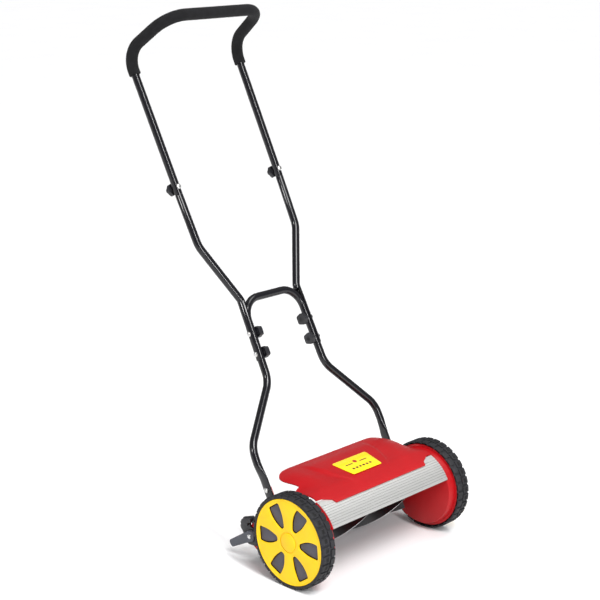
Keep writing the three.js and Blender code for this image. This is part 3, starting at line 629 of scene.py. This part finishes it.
def sidePlate():
    sizes = plateShape
    x0, x1, rimX = sizes["x0"], sizes["x1"], sizes["rimX"]
    disc, radius = sizes["disc"], sizes["radius"]
    dish = lathe([
        (0, x0), (disc - 1, x0), (disc, x0 + 0.6), (disc + 0.5, x0 + 2), (disc + 4, rimX - 3),
        (radius - 0.8, rimX - 3), (radius, rimX - 2.2), (radius, rimX - 0.4), (radius - 0.4, rimX),
        (disc + 2.2, rimX), (disc - 1.8, x1), (0, x1),
    ], 128, 0, machine["axleZ"])
    arm = plate([rounded([
        (60, 32, 0), (140, 25, 14), (164, 40, 16), (168, 66, 24), (157, 92, 14), (80, 130, 0), (60, 120, 0),
    ])], x0 + 0.1, x1 - 0.1, 0.8, 3)
    rib = plate([rounded([(90, 44, 3), (146, 38, 3), (148, 42, 3), (92, 49, 3)])], x1 - 0.5, x1 + 2.2, 0.6)
    ear = plate([handleStrip(*sizes["ear"])], x0 + 0.1, x1 - 0.1, 0.8, 3)
    outer, inner = [guardArc(reach, *sizes["seatAngles"], 12) for reach in sizes["seatRadii"]]
    guardSeat = plate([outer + inner[::-1]], x0 + 0.05, x1 - 0.1, 0.3)
    screw = lathe([
        (0, x0 - 1.6), (2.6, x0 - 1.4), (3.8, x0 - 0.7), (4.2, x0 + 0.3), (0, x0 + 0.3),
    ], 32, sizes["screwY"], sizes["screwZ"])
    return merge(dish, arm, rib, ear, guardSeat, screw)


for side, way in sides.items():
    name = "side_plate_" + side
    pieceFrom(handed(sidePlate(), way), name + "_shell", "chassis", ["red"], [name])
print("side plates made")


# Reel

reelShape = {
    "radius": 50, "blade": 31, "half": 187, "blades": 5, "steps": 72,
    "twist": math.radians(-0.55), "phase": math.radians(-16.5),  # twist is for each millimetre of width
    "starAt": (-150, 0, 150), "starHub": 10, "shaft": 5, "shaftEnd": 229,
}


def toReel(bm):
    bmesh.ops.translate(bm, vec=(0, machine["reelY"], machine["reelZ"]), verts=bm.verts)
    return bm


def reelBlade(index):
    sizes = reelShape
    root, tip = sizes["blade"], sizes["radius"]
    bm = bmesh.new()
    section = [(root, -1.4), (tip - 0.5, -1.4), (tip, -0.6), (tip - 2.6, 1.4), (root, 1.4)]
    verts = [bm.verts.new((-sizes["half"], y, z)) for y, z in section]
    face = bm.faces.new(verts)
    length = 2 * sizes["half"]
    bmesh.ops.spin(
        bm, geom=[face] + list(face.edges) + verts, cent=(0, 0, 0), axis=(1, 0, 0),
        dvec=(length / sizes["steps"], 0, 0), angle=sizes["twist"] * length, steps=sizes["steps"])
    weld(bm, 0.001)
    paint(bm, 1, lambda patch: radiusOf(patch.calc_center_median()) > tip - 2.1)
    start = sizes["phase"] + 2 * math.pi * index / sizes["blades"] - sizes["twist"] * sizes["half"]
    bmesh.ops.rotate(bm, cent=(0, 0, 0), matrix=Matrix.Rotation(start, 3, "X"), verts=bm.verts)
    return toReel(bm)


def reelStar(x):
    sizes = reelShape
    points = []
    for arm in range(sizes["blades"]):
        middle = sizes["phase"] + 2 * math.pi * arm / sizes["blades"] + sizes["twist"] * x
        for radius, offset in ((13, -0.5), (30.7, -0.17), (30.7, 0.17), (13, 0.5)):
            points.append((radius * math.cos(middle + offset), radius * math.sin(middle + offset)))
    bm = plate([points], x - 1.5, x + 1.5, 0.5)
    return toReel(merge(bm, rod(sizes["starHub"], x - 5, x + 5, 32)))


for i in range(reelShape["blades"]):
    name = "reel_blade_" + str(i + 1)
    pieceFrom(reelBlade(i), name + "_ground", "reel", ["steelBlack", "ground"], [name])
for i, x in enumerate(reelShape["starAt"], 1):
    name = "reel_star_" + str(i)
    pieceFrom(reelStar(x), name + "_pressed", "reel", ["steelBlack"], [name])
shaft = toReel(rod(reelShape["shaft"], -reelShape["shaftEnd"], reelShape["shaftEnd"], edge=0.8))
pieceFrom(shaft, "reel_shaft_turned", "reel", ["steelBlack"], ["reel_shaft"])
print("reel made")


# Bars and bed knife between the side plates

barShape = {"front": (8, -48, 150), "rear": (5, 124, 74)}  # radius, y, z


def tieBar(radius, y, z):
    return rod(radius, -machine["innerX"], machine["innerX"], 40, y, z, 0.8)


def bedKnifeBar():
    return plate([rounded([
        (98, 35.2, 0), (108, 35.2, 2), (108, 48, 2), (102, 48, 2), (102, 41, 2), (98, 41, 0),
    ], 4)], -machine["innerX"], machine["innerX"], 0.4)


def bedKnife():
    outline = [(64, 34.4), (64.6, 32.2), (108, 32.2), (108, 34.9), (68, 34.9)]
    return plate([outline], -machine["innerX"], machine["innerX"], 0.15, 1)


for end, place in barShape.items():
    name = end + "_tie_bar"
    pieceFrom(tieBar(*place), name + "_painted", "chassis", ["steelBlack"], [name])
pieceFrom(bedKnifeBar(), "bed_knife_bar_painted", "chassis", ["steelBlack"], ["bed_knife_bar"])
pieceFrom(bedKnife(), "bed_knife_ground", "chassis", ["ground"], ["bed_knife"])
print("bars made")


# Front guard: an extruded strip with fine lengthwise grooves, whose ends reach further up

guardShape = {
    "radius": 92.5, "thickness": 2, "top": 27.5, "endTop": 21, "low": 64.5, "endX": 150.6,
    "grooves": 9, "firstGroove": 31, "groovePitch": 3.6, "grooveWidth": 0.6, "grooveDepth": 0.6,
}


def guardStrip(start, x0, x1):
    sizes = guardShape
    radius, half = sizes["radius"], sizes["grooveWidth"] / 2
    floor = radius - sizes["grooveDepth"]
    outer = guardArc(radius, start, sizes["firstGroove"] - 1, 4)
    for i in range(sizes["grooves"]):
        middle = sizes["firstGroove"] + i * sizes["groovePitch"]
        outer.append(guardPoint(radius, middle - half))
        outer.append(guardPoint(floor, middle - half * 0.6))
        outer.append(guardPoint(floor, middle + half * 0.6))
        outer.append(guardPoint(radius, middle + half))
    last = sizes["firstGroove"] + (sizes["grooves"] - 1) * sizes["groovePitch"] + 2
    outer += guardArc(radius, last, sizes["low"] - 0.6, 3)
    outer.append(guardPoint(radius - 0.5, sizes["low"]))
    inner = guardArc(radius - sizes["thickness"], start, sizes["low"], 16)
    bm = plate([outer + inner[::-1]], x0, x1, 0)
    # the groove floors take the darker aluminium as painted shade
    paint(bm, 1, lambda face: abs(face.normal.x) < 0.5 and onGrooveFloor(face.calc_center_median()))
    return bm


def onGrooveFloor(point):
    depth = guardShape["radius"] - radiusOf(point, 0, machine["axleZ"])
    return guardShape["grooveDepth"] / 3 < depth < guardShape["thickness"] - 0.3


def frontGuard():
    inner, end, endTop = machine["innerX"], guardShape["endX"], guardShape["endTop"]
    middle = guardStrip(guardShape["top"], -end, end)
    return merge(middle, guardStrip(endTop, -inner, -end), guardStrip(endTop, end, inner))


pieceFrom(
    frontGuard(), "front_guard_extrusion", "chassis", ["aluminium", "grooveShadeAluminium"],
    ["front_guard"])
print("guard made")


# Hood: a moulded cover with a raised field round the label

hoodShape = {
    "thickness": 2.5, "gridX": 3.0, "gridY": 4.0, "lift": 1.6, "dip": 2.4,
    "profile": [
        (-58, 181.2), (-51, 185.8), (-45.5, 189.1), (-35, 193.9), (-26, 197.3), (-10, 203.8), (20, 209),
        (50, 213.5), (80, 214.5), (113, 211.2), (121, 210.4),
    ],
    "droopFrom": 125, "droopBend": 0.0035, "droopFront": -32, "droopBack": 32,
    "fieldEdge": [(-23, 56), (8, 76), (40, 86), (61, 92), (110, 97)],
    "flankWidth": [(-23, 2), (35, 10), (110, 14)],
    "fieldRise": [(-28, 0), (10, 0.8), (40, 1), (75, 0.8), (100, 0)],
    "corners": [
        (149.8, -51.8, 1), (153.8, -42.8, 2), (176, -32.8, 4), (192.4, -31.8, 1.5), (192.4, 32, 8),
        (173.8, 35, 3), (184.8, 112.5, 36),
    ],
}


def along(table, place):  # the value at a place in a table of (place, value)
    if place <= table[0][0]:
        return table[0][1]
    for (start, low), (end, high) in zip(table, table[1:]):
        if place <= end:
            return low + (high - low) * (place - start) / (end - start)
    return table[-1][1]


def smoothAlong(table, place, reach):
    samples = [along(table, place + reach * k / 4) for k in range(-4, 5)]
    return sum(samples) / len(samples)


def easeStep(share):
    share = min(1.0, max(0.0, share))
    return share * share * (3 - 2 * share)


def wingDroop(x, y):
    front, back = hoodShape["droopFront"], hoodShape["droopBack"]
    beyond = max(0.0, abs(x) - hoodShape["droopFrom"])
    return hoodShape["droopBend"] * beyond ** 2 * easeStep((y - front) / (back - front))


def hoodHeight(x, y):
    sizes = hoodShape
    base = smoothAlong(sizes["profile"], y, 7) - wingDroop(x, y)
    rise = smoothAlong(sizes["fieldRise"], y, 6)
    edge = smoothAlong(sizes["fieldEdge"], y, 6)
    flank = along(sizes["flankWidth"], y)
    beyond = abs(x) - edge
    if beyond <= 0:
        return base + sizes["lift"] * rise
    if beyond < flank:
        return base + (sizes["lift"] - (sizes["lift"] + sizes["dip"]) * beyond / flank) * rise
    return base - sizes["dip"] * rise * (1 - easeStep((beyond - flank) / 48))


def hoodOutline():
    right = hoodShape["corners"]
    left = [(-x, y, radius) for x, y, radius in reversed(right)]
    return rounded(right + left, 8)


def hood():
    sizes = hoodShape
    bm = bmesh.new()
    flatFace(bm, [hoodOutline()], lambda x, y: (x, y, 0))
    bmesh.ops.dissolve_limit(bm, angle_limit=0.01, verts=bm.verts, edges=bm.edges)
    cuts = [((i * sizes["gridX"], 0, 0), (1, 0, 0)) for i in range(-63, 64)]
    cuts += [((0, -52 + i * sizes["gridY"], 0), (0, 1, 0)) for i in range(1, 41)]
    for point, normal in cuts:
        everything = bm.verts[:] + bm.edges[:] + bm.faces[:]
        bmesh.ops.bisect_plane(bm, geom=everything, plane_co=point, plane_no=normal)
    weld(bm, 0.2)
    bmesh.ops.recalc_face_normals(bm, faces=bm.faces)
    if bm.faces[0].normal.z < 0:
        bmesh.ops.reverse_faces(bm, faces=bm.faces)
    for vert in bm.verts:
        vert.co.z = hoodHeight(vert.co.x, vert.co.y)
    made = bmesh.ops.extrude_face_region(bm, geom=bm.faces[:], use_keep_orig=True)["geom"]
    under = [item for item in made if isinstance(item, bmesh.types.BMVert)]
    bmesh.ops.translate(bm, vec=(0, 0, -sizes["thickness"]), verts=under)
    bmesh.ops.recalc_face_normals(bm, faces=bm.faces)
    softenEdges(bm, 0.7, 3, 55)
    return bm


pieceFrom(hood(), "hood_moulding", "chassis", ["red"], ["hood"], smooth=40)
print("hood made")


# Label: a printed film on the raised field, with a plain mark of its own

labelShape = {
    "y": 20, "z": 210.9, "slope": math.atan2(9.7, 60), "front": 47, "rear": 56, "half": 30, "corner": 5,
    "dotRadius": 5.2, "dotAt": 11,
    "barX": (34, 12), "barY": (5, 8),  # a bar each side of the dot
    "dashes": 6, "dashPitch": 11, "dashHalf": 3.4, "dashY": (-15, -9),  # a row of dashes below
}


def printedBar(x0, x1, y0, y1):
    bm = slab([rounded([(x0, y0, 0.8), (x1, y0, 0.8), (x1, y1, 0.8), (x0, y1, 0.8)], 3)], 0.5, 0.7, 0)
    paint(bm, 1, lambda face: True)
    return bm


def label():
    sizes = labelShape
    front, rear, half, corner = sizes["front"], sizes["rear"], sizes["half"], sizes["corner"]
    outline = rounded([
        (-front, -half, corner), (front, -half, corner), (rear, half, corner), (-rear, half, corner),
    ])
    bm = slab([outline], 0, 0.6, 0.25)
    dot = slab([circlePoints(sizes["dotRadius"], 28, 0, sizes["dotAt"])], 0.5, 0.72, 0)
    paint(dot, 2, lambda face: True)
    far, near = sizes["barX"]
    marks = [printedBar(way * far, way * near, *sizes["barY"]) for way in (-1, 1)]
    for i in range(sizes["dashes"]):
        middle = (i - (sizes["dashes"] - 1) / 2) * sizes["dashPitch"]
        marks.append(printedBar(middle - sizes["dashHalf"], middle + sizes["dashHalf"], *sizes["dashY"]))
    return merge(bm, dot, *marks)


labelPlace = (
    toRow
    @ Matrix.Translation((0, labelShape["y"], labelShape["z"]))
    @ Matrix.Rotation(labelShape["slope"], 4, "X")
)
pieceFrom(
    label(), "hood_label_print", "chassis", ["label", "printDark", "printRed"],
    ["hood_label"], labelPlace)
print("label made")


# Handle tubes, drawn in the handle's own frame: Z up the handle, Y to its rear

handleShape = {
    "tube": 9, "loopTop": 504.5, "loopHalf": 88, "kneeX": 92.6, "kneeAt": 314, "footX": 203.5, "footAt": 186,
    "endX": 205, "roundEnd": 148, "flatLow": 36, "flatX": 201, "jointX": 160, "jointAt": 771,
    "saddleLow": 364, "saddleHigh": 503, "saddleBolts": (427, 379), "boltX": 160.25, "boltAt": 788,
    "legBolt": 88, "legBoltX": 205.3, "foam": 13.5, "foamX": 164.2, "foamEnd": 1060,
    "grip": [(165, 0, 1113.7), (144, -144.3, 1136.5)], "gripBends": (50, 58, 58, 50),
}
handlePlace = toRow @ toHandle


def legX(at):  # the lower handle's legs splay a little below the loop
    sizes = handleShape
    share = (sizes["loopTop"] - at) / (sizes["loopTop"] - sizes["kneeAt"])
    return sizes["loopHalf"] + (sizes["kneeX"] - sizes["loopHalf"]) * share


def flattenEnd(bm, ring, way):
    # press the round tube flat, leave it flat past the bolt, and round off its end
    low = handleShape["flatLow"]
    pressed = [(138, 0.97, 1.03), (128, 0.75, 1.16), (120, 0.6, 1.14), (112, 0.93, 1.03)]
    roundedOff = [(low + 8, 1, 1), (low + 4, 1, 0.94), (low + 1.2, 1, 0.8), (low, 1, 0.5)]
    drift = way * (handleShape["flatX"] - handleShape["endX"]) / len(pressed)
    here = handleShape["roundEnd"]
    for i, (at, thinner, wider) in enumerate(pressed + roundedOff):
        sideways = drift if i < len(pressed) else 0
        ring = pushRing(bm, ring, Vector((sideways, 0, at - here)), (thinner, wider, 1))
        here = at
    return ring


def lowerHandle():
    sizes = handleShape
    half = [
        (sizes["endX"], 0, sizes["roundEnd"]), (sizes["footX"], 0, sizes["footAt"]),
        (sizes["kneeX"], 0, sizes["kneeAt"]), (sizes["loopHalf"], 0, sizes["loopTop"]),
    ]
    bm, start, end = bentTube(mirroredPath(half), [60, 60, 50, 50, 60, 60], sizes["tube"])
    return closeTube(bm, flattenEnd(bm, start, 1), flattenEnd(bm, end, -1), edge=0)


def halfShell(inner, outer, low, high, edge=0.5):
    points = []
    for radius, way in ((outer, 1), (inner, -1)):
        for i in range(19):
            turn = way * (-math.pi / 2 + math.pi * i / 18)
            points.append((radius * math.cos(turn), radius * math.sin(turn)))
    return slab([points], low, high, edge)


def midTube():
    tube, low, high, jointAt = [handleShape[name] for name in ("tube", "saddleLow", "saddleHigh", "jointAt")]
    start = (legX(high - 4) + 1.2, 0, high - 4)
    corners = [start, (91.3, 0, 509), (156.3, 0, 647), (handleShape["jointX"], 0, jointAt - 0.3)]
    bm, bottom, top = bentTube(corners, [12, 60], tube)
    closeTube(bm, bottom, top, edge=1.0)
    saddle = halfShell(tube + 0.6, tube + 1.8, low, high)
    splay = (legX(low) - legX(high)) / (high - low)
    for vert in saddle.verts:
        vert.co.x += legX(0) - splay * vert.co.z
    neck = lathe([(tube - 0.9, 0), (tube - 0.9, 1.6), (0, 1.6), (0, 0)], 40)
    bmesh.ops.rotate(neck, cent=(0, 0, 0), matrix=Matrix.Rotation(-math.pi / 2, 3, "Y"), verts=neck.verts)
    bmesh.ops.translate(neck, vec=(handleShape["jointX"], 0, jointAt - 1), verts=neck.verts)
    return merge(bm, saddle, neck)


def gripTube(start, radius, sides, steps, edge):
    path = mirroredPath([start] + handleShape["grip"])
    bm, left, right = bentTube(path, handleShape["gripBends"], radius, sides, steps)
    return closeTube(bm, left, right, edge=edge)


def upperHandle():
    return gripTube((handleShape["jointX"], 0, handleShape["jointAt"]), handleShape["tube"], 32, 14, 1.0)


def foamGrip():
    return gripTube((handleShape["foamX"], 0, handleShape["foamEnd"]), handleShape["foam"], 40, 18, 1.2)


def tubePiece(bm, name):
    pieceFrom(bm, name + "_coated", "chassis", ["tube"], [name], handlePlace)


tubePiece(lowerHandle(), "lower_handle")
for side, way in sides.items():
    tubePiece(handed(midTube(), way), "mid_tube_" + side)
tubePiece(upperHandle(), "upper_handle")
grip = pieceFrom(foamGrip(), "foam_grip_sleeve", "chassis", ["foam"], ["foam_grip"], handlePlace)
print("handle made")


# Bolts and star knobs, drawn on the X axis: a domed head below 0 and a shank above

fastenerShape = {
    "head": 6.0, "shank": 3, "saddleBolt": 32, "upperBolt": 29, "legBolt": 13.6,
    "knobRadius": 13.1, "lobeDepth": 0.9, "lobes": 5, "collar": 7.5,
    "saddleKnob": (1, 12), "upperKnob": (2, 9.5),  # collar height and knob length
}


def boltShape(length):
    head, shank = fastenerShape["head"], fastenerShape["shank"]
    return lathe([
        (0, -3.3), (head * 0.45, -3.1), (head * 0.8, -2.3), (head, -0.9), (head, 0),
        (shank, 0), (shank, length), (0, length),
    ], 32)


def starKnob(neck, length):
    middle, depth, lobes = [fastenerShape[name] for name in ("knobRadius", "lobeDepth", "lobes")]
    points = []
    for i in range(80):
        turn = 2 * math.pi * i / 80
        radius = middle + depth * math.cos(lobes * turn)
        points.append((radius * math.cos(turn), radius * math.sin(turn)))
    top = neck + length
    bm = plate([points], neck, top, 1.4, 4)
    foot = fastenerShape["collar"]
    collar = lathe([(0, 0), (foot - 0.3, 0), (foot, 0.3), (foot, neck + 0.5), (0, neck + 0.5)], 40)
    cap = lathe([(0, top), (5, top), (5.6, top - 0.5), (5.6, top - 1), (0, top - 1)], 32)
    return merge(bm, collar, cap)


def placeBolt(length, name, place):
    bm = boltShape(length)
    pieceFrom(bm, name + "_detail", "chassis", ["zinc"], [name], handlePlace @ place)


def placeKnob(shape, name, place):
    bm = starKnob(*shape)
    pieceFrom(bm, name + "_detail", name, ["blackNylon"], [name], handlePlace @ place)


tube = handleShape["tube"]
toRear = Matrix.Rotation(math.pi / 2, 4, "Z")
for side, way in sides.items():
    inward = Matrix.Rotation(math.pi, 4, "Z") if way > 0 else Matrix.Identity(4)
    for level, at in zip(("middle", "lower"), handleShape["saddleBolts"]):
        outside = Matrix.Translation((way * (legX(at) + tube + 2.1), 0, at)) @ inward
        inside = Matrix.Translation((way * (legX(at) - tube - 0.3), 0, at)) @ inward
        placeBolt(fastenerShape["saddleBolt"], f"bolt_{level}_{side}", outside)
        placeKnob(fastenerShape["saddleKnob"], f"knob_{level}_{side}", inside)
    boltX, boltAt = way * handleShape["boltX"], handleShape["boltAt"]
    front = Matrix.Translation((boltX, -tube - 0.3, boltAt)) @ toRear
    rear = Matrix.Translation((boltX, tube + 0.3, boltAt)) @ toRear
    placeBolt(fastenerShape["upperBolt"], f"bolt_upper_{side}", front)
    placeKnob(fastenerShape["upperKnob"], f"knob_upper_{side}", rear)
    leg = Matrix.Translation((way * handleShape["legBoltX"], 0, handleShape["legBolt"])) @ inward
    placeBolt(fastenerShape["legBolt"], f"leg_bolt_{side}", leg)
print("fasteners made")


# Height lever, its bracket, and the rear roller with its arms

leverShape = {
    "bracketX": (-200.6, -196.3), "housingX": -207.6, "leverX": (-206.6, -201.1), "disc": 13,
    "screwEnd": -188.5, "armX": (185.5, 189.5), "armBoss": 7, "armBossX": 197,
    "rollerY": 135, "rollerZ": 20, "roller": 20, "rollerHalf": 183, "rollerBore": 4.6,
    "grooves": 7, "groovePitch": 46, "grooveDepth": 1.4, "rollerAxle": 4,
}
pivot = (machine["leverY"], machine["leverZ"])


def heightBracket():
    x0, x1 = leverShape["bracketX"]
    y, z = pivot
    bm = plate([
        rounded([
            (138, 38, 6), (138, 70, 6), (150, 77, 2), (161, 79, 2), (161, 88, 3), (149, 92, 3), (150, 108, 4),
            (182, 97, 6), (193, 72, 8), (180, 56, 6), (168, 36, 8),
        ]),
        circlePoints(13, 48, y, z),
    ], x0, x1, 0.6)
    housing = plate([rounded([
        (163, 82, 2), (163, 89, 3), (153, 94, 3), (153, 104, 4), (180, 95, 6), (187, 82, 4),
    ])], leverShape["housingX"], x0 + 0.5, 1.4, 3)
    return merge(bm, housing)


def heightLever():
    x0, x1 = leverShape["leverX"]
    y, z = pivot
    rim = leverShape["disc"]
    outline = rounded([(y - 3, z + 17.5, 12), (y - 17, z - 4.5, 12), (214.3, 15.7, 7), (223.5, 30.1, 7)])
    bm = plate([outline], x0, x1, 1.2, 4)
    top = x0 - 2.2
    disc = lathe([(0, top), (rim - 2, top), (rim - 0.6, top + 0.6), (rim, x0 + 0.5), (0, x0 + 0.5)], 64, y, z)
    boss = rod(rim - 1.5, x1 - 1, -197.3, 40, y, z)
    return merge(bm, disc, boss)


def leverScrew():
    x, end = leverShape["leverX"][0] - 2.2, leverShape["screwEnd"]
    return lathe([
        (0, x - 3), (3, x - 2.8), (4.8, x - 1.8), (5.5, x - 0.4), (5.5, x), (2.5, x), (2.5, end), (0, end),
    ], 32, *pivot)


def rollerArm():
    y, z = pivot
    x0, x1 = leverShape["armX"]
    rollerY, rollerZ = leverShape["rollerY"], leverShape["rollerZ"]
    outline = rounded([
        (y - 4, z + 13, 10), (rollerY - 12, rollerZ + 2, 10), (rollerY + 3, rollerZ - 12, 10),
        (y + 13, z - 3, 12),
    ])
    bm = plate([outline], x0, x1, 0.7, 3)
    return merge(bm, rod(leverShape["armBoss"], x1 - 0.5, leverShape["armBossX"], 32, y, z))


def rearRoller():
    radius, half, bore = leverShape["roller"], leverShape["rollerHalf"], leverShape["rollerBore"]
    low = radius - leverShape["grooveDepth"]
    profile = [(bore, -half), (low, -half), (radius, -half + 1.4)]
    for i in range(leverShape["grooves"]):  # shallow grooves that shed wet grass
        middle = (i - (leverShape["grooves"] - 1) / 2) * leverShape["groovePitch"]
        profile += [(radius, middle - 3), (low, middle - 1.8), (low, middle + 1.8), (radius, middle + 3)]
    profile += [(radius, half - 1.4), (low, half), (bore, half)]
    return lathe(profile, 64, leverShape["rollerY"], leverShape["rollerZ"])


def heightPiece(bm, name, body, material, ending="_moulded"):
    pieceFrom(bm, name + ending, body, [material], [name])


heightPiece(heightBracket(), "height_bracket", "chassis", "blackNylon")
heightPiece(heightLever(), "height_lever", "height_carrier", "leverGrey")
heightPiece(leverScrew(), "lever_screw", "height_carrier", "zinc", "_detail")
for side, way in sides.items():
    name = "roller_arm_" + side
    heightPiece(handed(rollerArm(), way), name, "height_carrier", "blackNylon")
heightPiece(rearRoller(), "rear_roller", "rear_roller", "blackNylon")
axleEnd = leverShape["armX"][1]
axle = rod(leverShape["rollerAxle"], -axleEnd, axleEnd, 24, leverShape["rollerY"], leverShape["rollerZ"])
heightPiece(axle, "roller_axle", "height_carrier", "zinc", "_drawn")
print("height setting and roller made")


# Inner parts keep their frame shapes and take a finish

innerFinish = {
    "axle": "zinc", "retaining_ring": "zinc", "pinion": "zinc", "pawl": "zinc", "reel_bearing": "blackNylon",
}
for stem, material in innerFinish.items():
    for side in sides:
        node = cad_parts[stem + "_" + side]
        node.data.materials.clear()
        node.data.materials.append(finishes[material])
print("inner parts finished")


# Floor, lights and camera

studio = {
    "floorHalf": 30, "world": 0.36, "cameraPlace": (-2.3744, axleRow - 2.0705, 1.4386), "azimuth": -46.29,
    "elevation": 15.06, "lens": 90.71, "sensor": 36, "clipEnd": 60,
    "suns": [
        # name, where it shines from, angle, strength
        ("key", (-0.6, -1.5, 2.4), 26, 1.65),
        ("fill", (0.7, -0.5, 2.2), 30, 0.75),
        ("side", (-1.0, 0.05, 0.5), 10, 0.8),
    ],
    "strip": ((-0.75, -2.4, 2.0), (0, 0.1, 0.6), 0.22, 2.4, 62),  # place, aim, width, height, power
}


def floor():
    bm = bmesh.new()
    bmesh.ops.create_grid(bm, x_segments=1, y_segments=1, size=studio["floorHalf"])
    mesh = bpy.data.meshes.new("studio_floor")
    bm.to_mesh(mesh)
    bm.free()
    material, tree, shader = newMaterial("pale studio floor", "#f7f7f7", 0.8)
    grain = remap(tree, noiseAt(tree, objectPlace(tree), 400, 2), 0, 1)
    tree.links.new(mixColours(tree, grain, "#f7f7f7", "#f5f5f6"), shader.inputs["Base Color"])
    mesh.materials.append(material)
    obj = bpy.data.objects.new("studio_floor", mesh)
    scene.collection.objects.link(obj)


def addLight(kind, name, place, aim):
    data = bpy.data.lights.new(name, kind)
    lamp = bpy.data.objects.new(name, data)
    lamp.location = place
    lamp.rotation_euler = (Vector(aim) - Vector(place)).to_track_quat("-Z", "Y").to_euler()
    scene.collection.objects.link(lamp)
    return data


def broadSun(name, place, angle, strength):
    data = addLight("SUN", name, place, (0, 0, 0))
    data.angle = math.radians(angle)
    data.energy = strength


def strip(place, aim, width, height, power):
    data = addLight("AREA", "front strip", place, aim)
    data.shape = "RECTANGLE"
    data.size = width
    data.size_y = height
    data.energy = power


floor()
for sun in studio["suns"]:
    broadSun(*sun)
strip(*studio["strip"])
world = bpy.data.worlds.new("white room")
world.use_nodes = True
world.node_tree.nodes["Background"].inputs["Color"].default_value = (1, 1, 1, 1)
world.node_tree.nodes["Background"].inputs["Strength"].default_value = studio["world"]
scene.world = world
scene.view_settings.view_transform = "Standard"

cameraData = bpy.data.cameras.new("camera")
cameraData.lens = studio["lens"]
cameraData.sensor_width = studio["sensor"]
cameraData.clip_end = studio["clipEnd"]
camera = bpy.data.objects.new("camera", cameraData)
camera.location = studio["cameraPlace"]
camera.rotation_euler = (math.radians(90 - studio["elevation"]), 0, math.radians(studio["azimuth"]))
scene.collection.objects.link(camera)
scene.camera = camera
print("studio made")
